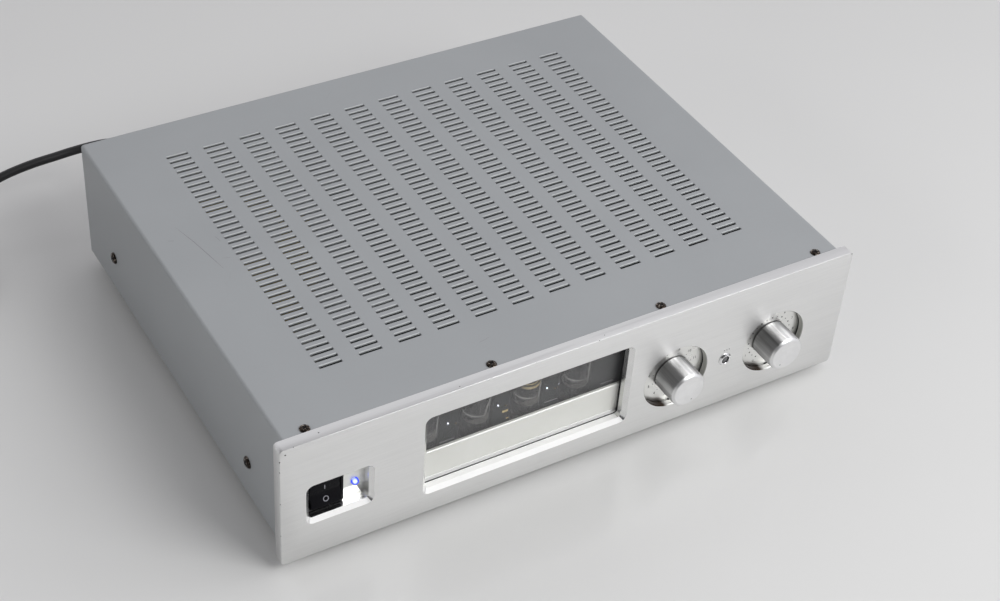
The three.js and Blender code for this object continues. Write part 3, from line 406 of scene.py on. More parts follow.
CORD = plastic("cord_jacket", grey(0.008, 0.009), grey(0.018, 0.019), (0.42, 0.56), grain=0.2)
BOARD = plastic("dark_board", (0.012, 0.022, 0.018), (0.022, 0.04, 0.03), (0.3, 0.45), 160)
PHENOLIC = plastic("socket_phenolic", (0.035, 0.022, 0.016), (0.06, 0.04, 0.028), (0.4, 0.55))
MICA = plastic("mica_disc", (0.66, 0.64, 0.58), (0.80, 0.78, 0.72), (0.2, 0.35), 300)
ANODE = metal("dark_anode", grey(0.16, 0.165), grey(0.30, 0.305), (0.3, 0.45), 0.6)
WINDING = plastic("amber_tape", (0.42, 0.30, 0.06), (0.56, 0.42, 0.11), (0.25, 0.4), 60)
SLEEVE = plastic("capacitor_sleeve", (0.02, 0.022, 0.03), (0.04, 0.042, 0.055), (0.25, 0.35))
SINK = metal("black_anodised", grey(0.02, 0.022), grey(0.045, 0.048), (0.4, 0.55), 0.4)
RED = plastic("red_plastic", (0.36, 0.012, 0.012), (0.5, 0.03, 0.025), (0.25, 0.35))
KEY_PRINT = plastic("key_print", grey(0.30, 0.34), grey(0.42, 0.46), (0.4, 0.5))
WHITE = plastic("white_plastic", grey(0.72, 0.70), grey(0.82, 0.80), (0.35, 0.45))
DARK_PRINT = plastic("dark_print", grey(0.06, 0.065), grey(0.12, 0.125), (0.4, 0.55))
SMOKED = smoked_acrylic()
GLASS = clear_glass()
LAMP = glowing("blue_lamp", (0.02, 0.05, 0.60), (0.75, 0.85, 1.0), 1.1)
HEATER = glowing("heater_glow", (0.35, 0.10, 0.03), (0.8, 0.35, 0.12), 0.12)
GLINT = glowing("pale_glint", grey(0.42, 0.40), (0.62, 0.61, 0.58), 0.6)
FAINT = glowing("faint_glint", 0.30, 0.40, 0.45)
GILT = glowing("golden_glint", (0.50, 0.38, 0.16), (0.95, 0.85, 0.55), 0.8)
BOARD_LAMP = glowing("board_lamp", (0.8, 0.85, 1.0), 1.0, 4.0)


# Shapes. A shell is a list of points, a list of faces and a material number for each face.


def polar(u, v, radius, degrees):
    """The point at a radius and an angle round a centre."""
    angle = radians(degrees)
    return u + radius * cos(angle), v + radius * sin(angle)


def outline(left, right, bottom, top, radius, steps=6):
    """Corner points of a rectangle with round corners."""
    corners = (
        (right - radius, bottom + radius), (right - radius, top - radius),
        (left + radius, top - radius), (left + radius, bottom + radius),
    )
    return [
        polar(*corner, radius, 90 * (turn - 1) + 90 * k / steps)
        for turn, corner in enumerate(corners) for k in range(steps + 1)
    ]


def on_y(points, y):
    return [(u, y, v) for u, v in points]


def on_z(points, z):
    return [(u, v, z) for u, v in points]


def fillet(points, closed=False, steps=4):
    """Rounds the corners of a flat path where a point has a third number, its radius."""
    out = []
    for i, point in enumerate(points):
        inside = closed or 0 < i < len(points) - 1
        if len(point) < 3 or not inside:
            out.append(tuple(point[:2]))
            continue
        here = Vector(point[:2])
        near = (Vector(points[j % len(points)][:2]) for j in (i - 1, i + 1))
        back, ahead = ((other - here).normalized() for other in near)
        half = acos(max(-1.0, min(1.0, back.dot(ahead)))) / 2
        centre = here + (back + ahead).normalized() * (point[2] / sin(half))
        a, b = (here + side * (point[2] / tan(half)) - centre for side in (back, ahead))
        turn = atan2(a.x * b.y - a.y * b.x, a.dot(b))
        for k in range(steps + 1):
            c, s = cos(turn * k / steps), sin(turn * k / steps)
            out.append((centre.x + a.x * c - a.y * s, centre.y + a.x * s + a.y * c))
    return out


def loft(rings, tag=0):
    """Closed skin through rings of points, with a flat cap on each end."""
    size = len(rings[0])
    points = [p for ring in rings for p in ring]
    faces = []
    for base in range(0, len(points) - size, size):
        for i in range(size):
            a, b = base + i, base + (i + 1) % size
            faces.append((a, b, b + size, a + size))
    faces += [tuple(reversed(range(size))), tuple(range(len(points) - size, len(points)))]
    return points, faces, [tag] * len(faces)


def lathe(profile, u, v, axis="y", steps=64, closed=False, ribs=0, rib_depth=0.0, tag=0):
    """A profile of radius and height turned round a line along the axis, ribbed if wanted."""
    path = fillet(profile, closed)
    if closed:
        path.append(path[0])
    points, faces = [], []
    for k in range(steps):
        angle = 2 * pi * k / steps
        share = 1 - rib_depth * (0.5 - 0.5 * cos(ribs * angle))
        for radius, height in path:
            a = u + share * radius * cos(angle)
            b = v + share * radius * sin(angle)
            points.append((a, height, b) if axis == "y" else (a, b, height))
    size = len(path)
    for k in range(steps):
        a, b = k * size, (k + 1) % steps * size
        faces += [(a + i, b + i, b + i + 1, a + i + 1) for i in range(size - 1)]
    return points, faces, [tag] * len(faces)


def rod(u, v, low, high, radius, bore=0, ease=(0, 0), **options):
    """A round bar, or a tube where it has a bore, its two outer edges rounded if wanted."""
    rims = [(radius, h, e) if e else (radius, h) for h, e in zip((low, high), ease)]
    return lathe([(bore, low), *rims, (bore, high)], u, v, closed=bore > 0, **options)


def block(x0, x1, y0, y1, z0, z1, corner, edge, axis="y", steps=3, tag=0):
    """A block with round corners seen along its axis and eased edges at both ends."""

    def ring(inset, h):
        radius = max(corner - inset, 0.02)
        if axis == "y":
            return on_y(outline(x0 + inset, x1 - inset, z0 + inset, z1 - inset, radius, steps), h)
        return on_z(outline(x0 + inset, x1 - inset, y0 + inset, y1 - inset, radius, steps), h)

    low, high = (y0, y1) if axis == "y" else (z0, z1)
    ease = 0.3 * edge
    return loft([
        ring(edge, low), ring(ease, low + ease), ring(0, low + edge),
        ring(0, high - edge), ring(ease, high - ease), ring(edge, high),
    ], tag)


def ball(x, y, z, radius, steps):
    turns = [pi * k / steps for k in range(steps + 1)]
    arc = [(radius * sin(t), z - radius * cos(t)) for t in turns]
    return lathe(arc, x, y, axis="z", steps=2 * steps)


def wedge(x0, x1, y0, y1, z0, z1):
    """A thin three-sided strip whose long face slopes up from the front."""
    return loft([[(x, y0, z0), (x, y1, z1), (x, y1, z0)] for x in (x0, x1)])


def sliver(path, thick, sides=8):
    """A fine round sliver along a path of points, thinning towards both ends."""
    rings, last = [], len(path) - 1
    for k, place in enumerate(path):
        before, after = Vector(path[max(k - 1, 0)]), Vector(path[min(k + 1, last)])
        along = (after - before).normalized()
        side = along.cross(Vector((0.3, 0.9, 0.31))).normalized()
        lift = along.cross(side)
        radius = thick * max(0.12, sin(pi * k / last)) ** 0.5
        rings.append([])
        for j in range(sides):
            t = 2 * pi * j / sides
            rings[-1].append(Vector(place) + radius * (cos(t) * side + sin(t) * lift))
    return loft(rings)


def joined(shells):
    points, faces, tags = [], [], []
    for more_points, more_faces, more_tags in shells:
        base = len(points)
        points += more_points
        faces += [tuple(base + i for i in face) for face in more_faces]
        tags += more_tags
    return points, faces, tags


def moved(shell, change):
    return [change(*p) for p in shell[0]], shell[1], shell[2]


FACINGS = {
    "up": lambda u, v, w: (u, v, w),
    "down": lambda u, v, w: (u, -v, -w),
    "front": lambda u, v, w: (u, -w, v),
    "back": lambda u, v, w: (-u, w, v),
    "left": lambda u, v, w: (-w, u, v),
    "right": lambda u, v, w: (w, u, v),
}


def placed(shell, x, y, z, facing, degrees=0):
    """A shell made facing +z, turned on its axis and set down facing a side."""
    c, s = cos(radians(degrees)), sin(radians(degrees))

    def change(u, v, w):
        a, b, h = FACINGS[facing](c * u - s * v, s * u + c * v, w)
        return x + a, y + b, z + h

    return moved(shell, change)


def tagged(shell, tag, test=lambda centre: True):
    """Gives the faces whose centre passes the test a material number."""
    points, faces, tags = shell
    tags = list(tags)
    for i, face in enumerate(faces):
        centre = sum((Vector(points[k]) for k in face), Vector((0, 0, 0))) / len(face)
        if test(centre):
            tags[i] = tag
    return points, faces, tags


def mesh_of(name, shell, materials, place=Vector):
    mesh = bpy.data.meshes.new(name)
    points, faces, tags = shell
    mesh.from_pydata([place(p) for p in points], [], faces)
    for material in materials:
        mesh.materials.append(material)
    mesh.polygons.foreach_set("material_index", tags)
    work = bmesh.new()
    work.from_mesh(mesh)
    reach = max(max(abs(c) for c in v.co) for v in work.verts)
    bmesh.ops.remove_doubles(work, verts=work.verts, dist=reach * 1e-6)
    bmesh.ops.recalc_face_normals(work, faces=work.faces)
    work.to_mesh(mesh)
    work.free()
    return mesh


def shell_of(*objects):
    """The shell of the first object as its modifiers leave it. The objects are then removed."""
    graph = bpy.context.evaluated_depsgraph_get()
    mesh = bpy.data.meshes.new_from_object(objects[0].evaluated_get(graph))
    for obj in objects:
        bpy.data.objects.remove(obj)
    faces = [tuple(p.vertices) for p in mesh.polygons]
    return [tuple(v.co) for v in mesh.vertices], faces, [p.material_index for p in mesh.polygons]


def less(shell, cutters, materials=()):
    """The shell with the cutters taken out of it."""
    body, tool = (
        add_object("work", mesh_of("work", part, materials))
        for part in (shell, joined(cutters))
    )
    change = body.modifiers.new("cut", "BOOLEAN")
    change.object = tool
    change.operation = "DIFFERENCE"
    change.solver = "EXACT"
    return shell_of(body, tool)


def lettering(text, size):
    """Flat letters in x and y, centred on the origin, facing +z."""
    curve = bpy.data.curves.new("work", "FONT")
    curve.body = str(text)
    curve.size = size
    curve.extrude = 0.02
    curve.align_x = curve.align_y = "CENTER"
    return shell_of(add_object("work", curve))


def smooth(mesh, degrees=32):
    mesh.shade_smooth()
    mesh.set_sharp_from_angle(angle=radians(degrees))


def piece(name, shells, materials, node=None, body="chassis", crease=32, number=None):
    """Puts a finished piece in the scene, in a CAD node's place and riding on a body of the
    frame. A number ends the piece's and the node's name."""
    end = f"_{number}" if number else ""
    materials = materials if isinstance(materials, list) else [materials]
    mesh = mesh_of(name + end, joined(shells), materials, lambda p: at(*p))
    smooth(mesh, crease)
    obj = add_object(name + end, mesh)
    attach(obj, body)
    if node:
        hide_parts(node + end)
    return obj


def finish_nodes(material, *names):
    """Keeps CAD nodes and gives them their material."""
    for name in names:
        mesh = NODES[name].data
        mesh.materials.clear()
        mesh.materials.append(material)
        smooth(mesh)


# Mains lead: the route of the CAD model, measured from the inlet at the rear panel's face

CORD_RADIUS = 3.3
INLET_X = -157.0
INLET_Z = 52.0
LEAD_EXIT = 45.0
LEAD_ROUTE = [
    (-0.8, 58.3, 51.2), (-5, 66.3, 49.6), (-12, 72.8, 46.8), (-22, 77.4, 44), (-34, 79.9, 41.9),
    (-47, 80.6, 40.7), (-62, 80.4, 39.8), (-77, 80.2, 38), (-91, 79.6, 35.4), (-105, 78, 31.2),
    (-119, 74.8, 25.4), (-133, 70.2, 18.4), (-146, 65.4, 11.7), (-157, 61.8, 7.2),
]
COIL_X = INLET_X - 181
COIL_Y = REAR_FACE + 15.8
COIL_TURNS = 5.25
COIL_PITCH = 7.2
COIL_MIDDLE = 37.6
COIL_LIFT = 4.33
COIL_STEPS = 24


def coil_points():
    """Spiral in on the lower layer and out on the upper one."""
    inner = COIL_MIDDLE - COIL_PITCH * COIL_TURNS / 4
    points = []
    for i in range(round(COIL_TURNS * COIL_STEPS) + 1):
        turn = i / COIL_STEPS
        middle = turn - COIL_TURNS / 2
        share = min(max(2 * middle + 0.5, 0.0), 1.0)
        height = COIL_LIFT + COIL_PITCH * (share * share * (3 - 2 * share))
        radius = inner + COIL_PITCH * abs(middle)
        points.append((*polar(COIL_X, COIL_Y, radius, 90 + 360 * turn), height))
    return points


def curve_through(points, per_span=4):
    """Points on a smooth curve through the given ones, with even knots."""
    p = [Vector(q) for q in points]
    p = [2 * p[0] - p[1], *p, 2 * p[-1] - p[-2]]
    out = []
    for a, b, c, d in zip(p, p[1:], p[2:], p[3:]):
        for k in range(per_span):
            t = k / per_span
            cubic = (3 * b - a - 3 * c + d) * t**3
            out.append(0.5 * (2 * b + (c - a) * t + (2 * a - 5 * b + 4 * c - d) * t**2 + cubic))
    return [*out, p[-2]]


def make_cord():
    coil = coil_points()
    straight = 2 * CORD_RADIUS
    start = (INLET_X, REAR_FACE + LEAD_EXIT, INLET_Z)
    first = (INLET_X, start[1] + straight, INLET_Z)
    route = [(INLET_X + x, REAR_FACE + y, z) for x, y, z in LEAD_ROUTE]
    last, joint = ((COIL_X + k * straight, *coil[0][1:]) for k in (2, 1))
    end = (coil[-1][0], coil[-1][1] - straight, coil[-1][2])
    line = curve_through([start, first, *route, last, joint, *coil[::2], coil[-1], end])
    left = CAD_BOX[0].x / MM + CORD_RADIUS + 0.4
    back = (CAD_BOX[1].y - PANEL_FACE) / MM - CORD_RADIUS
    line = [Vector((max(p.x, left), min(p.y, back), p.z)) for p in line]
    data = bpy.data.curves.new("mains_lead", "CURVE")
    data.dimensions = "3D"
    spline = data.splines.new("POLY")
    spline.points.add(len(line) - 1)
    for point, place in zip(spline.points, line):
        point.co = (*at(*place), 1)
    data.bevel_depth = CORD_RADIUS * MM
    data.bevel_resolution = 5
    data.use_fill_caps = True
    data.materials.append(CORD)
    obj = add_object("mains_lead", data)
    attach(obj, "chassis")
    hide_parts("cord_lead", "cord_coil")
    sum((b - a).length for a, b in zip(line, line[1:])) * MM
    mains_connector()
    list(cord_straps())
    mains_plug(coil[-1])


def relief(x, y0, y1, z, rings=6, big=6, small=4.4):
    """Tapered strain relief with grooves between its ribs."""
    profile = [(0, y0), (big, y0)]
    step = (y1 - y0) / rings
    for k in range(rings):
        radius = big + (small - big) * (k + 0.5) / rings
        y = y0 + k * step
        profile += [(radius, y + 0.15 * step, 0.3), (radius, y + 0.7 * step, 0.3)]
        profile += [(radius - 0.9, y + 0.78 * step), (radius - 0.9, y + 0.98 * step)]
    return lathe([*profile, (small, y1), (0, y1)], x, z, steps=40)


def moulded(x, z, wide, high, corner, ends, ribs, groove, heights):
    """A moulded body along y, from its cross sections (inset, y) at both ends and its grip's
    ribs, each a groove and a rib at the heights given from the rib's start."""

    def ring(inset, y, squeeze=0.0):
        u, v = wide - inset - squeeze, high - inset
        return on_y(outline(x - u, x + u, z - v, z + v, corner - min(inset, corner - 1)), y)

    grip = [
        ring(0, y + height, squeeze)
        for y in ribs for height, squeeze in zip(heights, (groove, groove, 0, 0))
    ]
    first, last = ([ring(inset, y) for inset, y in end] for end in ends)
    return loft(first + grip + last)


def mains_connector():
    """Moulded connector in the inlet, with grip ribs and its strain relief."""
    x, z, face = INLET_X, INLET_Z, 343.8
    ends = ((0.5, face), (0, face + 0.5), (0, face + 5)), (
        (0, face + 17), (0.8, face + 19.6), (2.4, face + 21))
    ribs = [face + 5.5 + 2.6 * k for k in range(4)]
    body = moulded(x, z, 13.5, 9.5, 4, ends, ribs, 1.0, (0, 1.1, 1.4, 2.3))
    nose = block(x - 11.7, x + 11.7, face - 14, face + 0.4, z - 7.9, z + 7.9, 2, 0.4)
    shells = [body, nose, relief(x, face + 20.6, 384.9, z)]
    return piece("mains_connector", shells, CORD, "cord_connector")


def cord_straps():
    """Two flat cable ties round the bundle, each with its locking head."""
    straps = []
    for number in (1, 2):
        low, high = ([c / MM for c in corner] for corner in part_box(f"cord_tie_{number}"))
        y0, y1 = low[1] - PANEL_FACE / MM, high[1] - PANEL_FACE / MM
        x0, x1, z0, z1 = COIL_X - 4, COIL_X + 4, low[2], high[2]
        rings = []
        for t, x in (
            (0.1, x0), (0, x0 + 0.3), (0, x1 - 0.3), (0.1, x1), (0.65, x1), (0.7, x1 - 0.3),
            (0.7, x0 + 0.3), (0.65, x0), (0.1, x0),
        ):
            flat = outline(y0 + t, y1 - t, z0 + t, z1 - t, 4.5 - t, 8)
            rings.append([(x, u, v) for u, v in flat])
        points, faces, tags = loft(rings)
        strap = points, faces[:-2], tags[:-2]
        y = (y0 + y1) / 2
        head = block(x0 - 0.6, x1 + 0.6, y - 3, y + 3, z1 - 2.6, z1, 0.8, 0.4, "z")
        shells = [strap, head]
        straps.append(piece("cable_tie", shells, CORD, "cord_tie", number=number))
    return straps


def mains_plug(end):
    """Moulded plug with two flat blades and an earth pin, lying beside the coil."""
    x, z = end[0], end[2]
    start = end[1] - 2 * CORD_RADIUS - 0.3
    back, front = start - 20, start - 56
    ends = ((1, front), (0.2, front + 0.6), (0, front + 1.4), (0, front + 9)), (
        (0.6, front + 29), (2.5, back))
    ribs = [front + 10 + 2.8 * k for k in range(5)]
    body = moulded(x, z, 12.1, z - 0.03, 5, ends, ribs, 1.1, (0, 1.2, 1.6, 2.5))
    pins = [
        block(u - 0.8, u + 0.8, front - 17, front + 0.5, z - 3.15, z + 3.15, 0.4, 0.4, tag=1)
        for u in (x - 6.35, x + 6.35)
    ]
    pins.append(rod(x, z + 5, front - 20, front + 0.5, 2.3, ease=(1.6, 0), steps=28, tag=1))
    shells = [body, relief(x, back - 0.4, start, z), *pins]
    return piece("plug", shells, [CORD, CHROME], "mains_plug")


make_cord()


# Front panel with its milled windows and knob recesses

POWER_WINDOW = (-197.7, -150.8, 34.0, 67.2)
TUBE_WINDOW = (-116.3, 38.7, 22.2, 89.6)


def window_cutter(left, right, bottom, top, shade=True):
    """Bevelled at the front, straight behind, with a painted shadow line near the plate if wanted.
    """
    steps = [(-0.4, -0.4), (2.75, 2.75), (2.75, 6.9), (2.75, 9.4)]
    if shade:
        steps[3:] = [(2.75, 7.1), (2.1, 7.15), (2.1, 7.95), (2.75, 8.0), (2.75, 9.4)]
    rings = [
        on_y(outline(left + t, right - t, bottom + t, top - t, 5.5 - t, 10), y) for t, y in steps
    ]

    # The sill's faces take the painted-highlight sill finish.
    def on_sill(c):
        return c.z < bottom + 2.8 and left + 3 < c.x < right - 3 and (shade or c.y < 2.7)

    def in_shade(c):
        return 7.11 < c.y < 7.99 or c.y > 6.9 and c.x > right - 3.2 and c.z > bottom + 3

    shell = tagged(tagged(loft(rings), 1), 6, on_sill)
    return tagged(shell, 2, in_shade) if shade else shell


def recess_cutter(x, floor_tag):
    """Round recess with an eased lip, and on its right a groove in painted shade where wall and
    floor meet.
    """
    profile = [
        (0, -0.4), (26, -0.4), (25, 0.5, 0.3), (25, 4.05), (25.5, 4.1), (25.5, 4.7), (24.95, 4.75),
        (24.95, 5), (4.7, 5), (4.7, 9.4), (0, 9.4),
    ]

    def in_groove(c):
        outside = (c.x - x) ** 2 + (c.z - KNOB_Z) ** 2 > 24**2
        return 4.04 < c.y < 4.99 and outside and c.x > x

    shell = tagged(tagged(lathe(profile, x, KNOB_Z, steps=112), 5), 2, in_groove)
    return tagged(shell, floor_tag, lambda c: 4.995 < c.y < 5.005)


def make_panel():
    finishes = [PANEL, CUT, SHADE, turned_floor("select_floor", SELECT_X, KNOB_Z)]
    finishes += [turned_floor("volume_floor", VOLUME_X, KNOB_Z), WALL, PAINTED_LIT_SILL]
    body = block(-215, 215, 0, 8.9, 6, 105.4, 3, 0.6, steps=8)
    nicks = [
        (-211, 0, 101.2, 0.55), (-214.8, -0.1, 96.6, 0.6), (-214.9, 0.2, 88, 0.4),
        (-214.9, 0, 61, 0.45), (-215, 0.1, 33, 0.4), (-205.5, 0, 105.5, 0.5),
        (-187, 4.6, 105.7, 0.55), (-150, 0, 105.5, 0.35), (-92, 2.4, 105.7, 0.5),
        (-38, 0, 105.5, 0.4), (9, 0, 105.5, 0.5), (14.5, 3.2, 105.7, 0.45),
        (118, 0, 105.5, 0.4), (213.8, 0, 104.2, 0.5),
    ]
    cutters = [
        window_cutter(*POWER_WINDOW, shade=False),
        window_cutter(*TUBE_WINDOW),
        recess_cutter(SELECT_X, 3),
        recess_cutter(VOLUME_X, 4),
        rod(*SENSOR, -0.4, 9.4, 3.9, steps=32),
        *(tagged(ball(*nick, steps=6), 2) for nick in nicks),
    ]
    shell = less(body, cutters, finishes)
    piece("milled_panel", [shell], finishes, "front_panel")


def make_plate():
    """The plate keeps its CAD form, with a sheared edge along its slot, a strip at the tube
    window's foot, both bright as bare metal and with a painted highlight, and the smoked sheet
    behind."""
    finish_nodes(PLATE, "front_plate")
    lip = wedge(-119.6, 42.0, 8.95, 9.85, 49.3, 50.36)
    strip = wedge(-113.4, 35.8, 8.05, 9.19, 24.96, 27.2)
    # Painted highlight: the lip and strip are lighter than the plate, as where the light catches
    # them.
    edge = metal("sheared_edge_painted_bright", grey(0.86, 0.84), grey(0.94, 0.92), (0.26, 0.34), 0.6)
    piece("slot_trim", [lip, strip], edge)
    finish_nodes(SMOKED, "window_glass")


# Knobs, their marks, and the scales in the recesses

KNOB_RADIUS = 13.45


def make_knob(name, x, mark_degrees, body):
    profile = [
        (0, -15.9), (11.4, -15.9, 1.2), (KNOB_RADIUS, -14.1, 1.3), (KNOB_RADIUS, 4.4), (0, 4.4),
    ]
    shell = tagged(lathe(profile, x, KNOB_Z, steps=128), 1, lambda c: c.y < -14.6)
    shell = tagged(shell, 2, lambda c: c.y > 4.39)
    u, v = polar(x, KNOB_Z, 0.66 * KNOB_RADIUS, mark_degrees)
    finishes = [KNOB, CAP, SHADE]
    shell = less(shell, [ball(u, -16.5, v, 0.9, steps=10)], finishes)
    piece(name + "_turned", [shell], finishes, name, body)


def dot(x, z, y, radius):
    return rod(x, z, y - 0.05, y + 0.02, radius, steps=14)


def make_scales():
    """Numbers round the selector, dots and numbers round the volume knob, three dots by the
    sensor. The recesses' floors lie at y = 5."""
    shells = []
    selector = [(-71 - 30 * (k - 1), 0.3, k + 1) for k in range(12)]
    volume = [(-120 - 15 * k, *((0.42, None) if k % 2 else (0.6, k // 2))) for k in range(21)]
    for x, scale, dots, numbers, size in (
        (SELECT_X, selector, 15.6, 18.9, 3.1), (VOLUME_X, volume, 17.2, 20.9, 2.6),
    ):
        for turn, radius, number in scale:
            shells.append(dot(*polar(x, KNOB_Z, dots, turn), 4.98, radius))
            if number is not None:
                u, v = polar(x, KNOB_Z, numbers, turn)
                shells.append(placed(lettering(number, size), u, 4.97, v, "front"))
    shells += [dot(SENSOR[0] + u, SENSOR[1] + 8.2, -0.02, 0.36) for u in (-1.6, 0.4, 2.4)]
    piece("dial_print", shells, DARK_PRINT)


def make_sensor():
    ring = lathe([
        (2.9, 8.9), (2.9, -1.0), (3.1, -1.2, 0.08), (3.7, -1.2, 0.3), (4.9, -0.35, 0.12),
        (4.9, -0.02), (3.6, -0.02), (3.6, 8.9),
    ], *SENSOR, steps=56, closed=True)
    piece("sensor_bezel", [ring], CHROME, "sensor_ring")
    lens = lathe([
        (0, -1.0), (1.2, -0.9, 0.8), (2.5, -0.1, 0.4), (2.6, 0.4), (2.6, 16.6), (0, 16.6),
    ], *SENSOR, steps=40)
    piece("sensor_dome", [lens], LENS, "sensor_lens")


# Power switch: bezel with its well, rocker with I and O, lamp

SWITCH = (-181.6, 49.2)
LAMP_PLACE = (-160.2, 48.3)
ROCKER_TILT = radians(-11)
ROCKER_SLOPE = atan2(1.8, 8.98)


def rocker_place(x, depth, height):
    """From the rocker's own frame, level, to its tilted place on the pivot."""
    y = depth * cos(ROCKER_TILT) - height * sin(ROCKER_TILT)
    z = depth * sin(ROCKER_TILT) + height * cos(ROCKER_TILT)
    return SWITCH[0] + x, 10 + y, SWITCH[1] + z


def on_rocker(shell, side):
    """A mark made facing +z, laid on the rocker's upper (1) or lower (-1) face."""
    c, s = cos(ROCKER_SLOPE), sin(ROCKER_SLOPE)

    def change(u, v, w):
        along = 4.5 + side * v
        return rocker_place(u, -2.6 - along * s - w * c, side * (along * c - w * s))

    return moved(shell, change)


def make_rocker():
    start, stop = acos(-0.44), acos(0.2)
    turns = [start + (stop - start) * k / 8 for k in range(9)]
    path = [(-2.6, 0, 9)]
    for side in (-1, 1):
        arc = [(10 * cos(a), side * 10 * sin(a)) for a in turns]
        lip = (*arc[0], 0.45)
        path += [lip, *arc[1:]] if side < 0 else [*reversed(arc[1:]), lip]
    path = fillet(path, closed=True)
    body = loft([
        [(x, 0.6 + (u - 0.6) * share, v * share) for u, v in path]
        for x, share in (
            (-10.4, 0.93), (-10.2, 0.98), (-9.8, 1), (9.8, 1), (10.2, 0.98), (10.4, 0.93))
    ])
    bar = block(-0.26, 0.26, -1.7, 1.7, -0.02, 0.05, 0.1, 0.02, "z", tag=1)
    circle = rod(0, 0, -0.02, 0.05, 1.9, 1.45, axis="z", steps=40, tag=1)
    shells = [moved(body, rocker_place), on_rocker(bar, 1), on_rocker(circle, -1)]
    finishes = [BLACK, KEY_PRINT]
    piece("rocker_key", shells, finishes, "power_rocker", "rocker", 40)


def make_switch():
    x, z = SWITCH
    bezel = loft([
        on_y(outline(x - w / 2, x + w / 2, z - h / 2, z + h / 2, corner), y)
        for w, h, corner, y in (
            (25.6, 24, 1.8, 8.9), (25.6, 24, 1.8, 7.5), (25.3, 23.7, 1.7, 7.15),
            (24.7, 23.1, 1.6, 7.0), (22.3, 21.7, 0.9, 7.0), (21.6, 21, 0.7, 7.2),
            (21.4, 20.8, 0.6, 7.6), (21.4, 20.8, 0.6, 14.2))
    ])
    body = block(x - 12, x + 12, 14.2, 28.9, z - 11.2, z + 11.2, 1, 0.4)
    tabs = [
        block(u - 3, u + 3, 28.7, 28.9, z - 0.4, z + 0.4, 0.1, 0.05) for u in (x - 6, x + 6)
    ]
    piece("switch_bezel", [bezel, body, *tabs], BLACK, "power_switch")


def make_lamp():
    turns = [radians(9 * k) for k in range(11)]
    arc = [(2.5 * sin(t), 8.5 - 2.5 * cos(t)) for t in turns]
    dome = lathe([*arc, (2.5, 11), (3.1, 11), (3.1, 16), (0, 16)], *LAMP_PLACE, steps=40)
    piece("lamp_dome", [dome], LAMP, "power_lamp")


# Cover with its screws and marks


def screw_head(radius, height):
    """Pan head with a cross recess, its base at the origin, facing +z."""
    shell = lathe([
        (0, height), (0.35 * radius, 0.99 * height), (0.7 * radius, 0.86 * height),
        (0.92 * radius, 0.55 * height), (radius, 0.2 * height), (0.97 * radius, 0), (0, 0),
    ], 0, 0, axis="z", steps=36)
    half, reach = 0.15 * radius, 0.68 * radius
    for u, v in ((half, reach), (reach, half)):
        tool = loft([
            on_z(outline(-a, a, -b, b, 0.02, 2), z)
            for a, b, z in ((0.6 * u, 0.6 * v, 0.15 * height), (u, v, 1.2 * height))
        ], tag=1)
        shell = less(shell, [tool], [BRONZE, SHADE])
    return shell


def make_cover():
    finish_nodes(PAINT, "top_cover")
    head = screw_head(3.5, 1.36)
    shells = [
        placed(head, x, 12.45, COVER_TOP + 0.02, "up", turn)
        for x, turn in ((-192.4, 30), (-63.5, 52), (64.5, 35), (191.7, 70))
    ]
    head = screw_head(4.4, 2.1)
    for x, facing in ((-COVER_SIDE - 0.02, "left"), (COVER_SIDE + 0.02, "right")):
        for y, turn in ((61.2, 15), (288.8, 50)):
            shells.append(placed(head, x, y, 39.7, facing, turn))
    piece("cover_screws", shells, [BRONZE, SHADE])


def make_vent_edges():
    """The slight burr pushed up along each punched slot's far edge, in a painted highlight tone.
    """
    shells = [
        wedge(x - 7.5, x + 7.5, y + 1.08, y + 1.9, COVER_TOP - 0.02, COVER_TOP + 0.18)
        for x in [(column - 5.5) * 27.85 for column in range(12)]
        for y in [57.3 + 6.24 * row for row in range(40)]
    ]
    piece("vent_edges", shells, PAINTED_LIT_EDGE)


def rub_mark(width, *points):
    """A thin scratch lying on the cover's top through the points."""
    left, right = [], []
    count = len(points)
    for i, (x, y) in enumerate(points):
        before, after = Vector(points[max(i - 1, 0)]), Vector(points[min(i + 1, count - 1)])
        along = (after - before).normalized()
        half = width / 2 * sin(pi * (i + 0.25) / (count - 0.5))
        for side, sign in ((left, 1), (right, -1)):
            side.append((x - sign * along.y * half, y + sign * along.x * half, COVER_TOP + 0.012))
    faces = [(i, i + 1, count + i + 1, count + i) for i in range(count - 1)]
    return left + right, faces, [0] * len(faces)


def make_marks():
    """The few rubbed marks that the cover's top shows."""
    marks = [
        rub_mark(0.5, (-186, 226), (-181, 206), (-177.5, 188), (-174.5, 172)),
        rub_mark(0.45, (-166, 205), (-164.8, 199)),
        rub_mark(0.5, (-196, 214), (-192.5, 212.6)),
        rub_mark(0.35, (-171, 182), (-166, 180.4)),
        rub_mark(0.35, (-60, 34), (-52, 35.4)),
    ]
    finish = plastic("rubbed_mark", grey(0.20, 0.205), grey(0.25, 0.255), (0.4, 0.5))
    piece("cover_marks", marks, finish)


# Tubes and the boards

TUBE_Y = 36.0
TUBE_X = [-38.8 + 38.75 * (k - 1.5) for k in range(4)]
BOARD_PRINT = 19.86


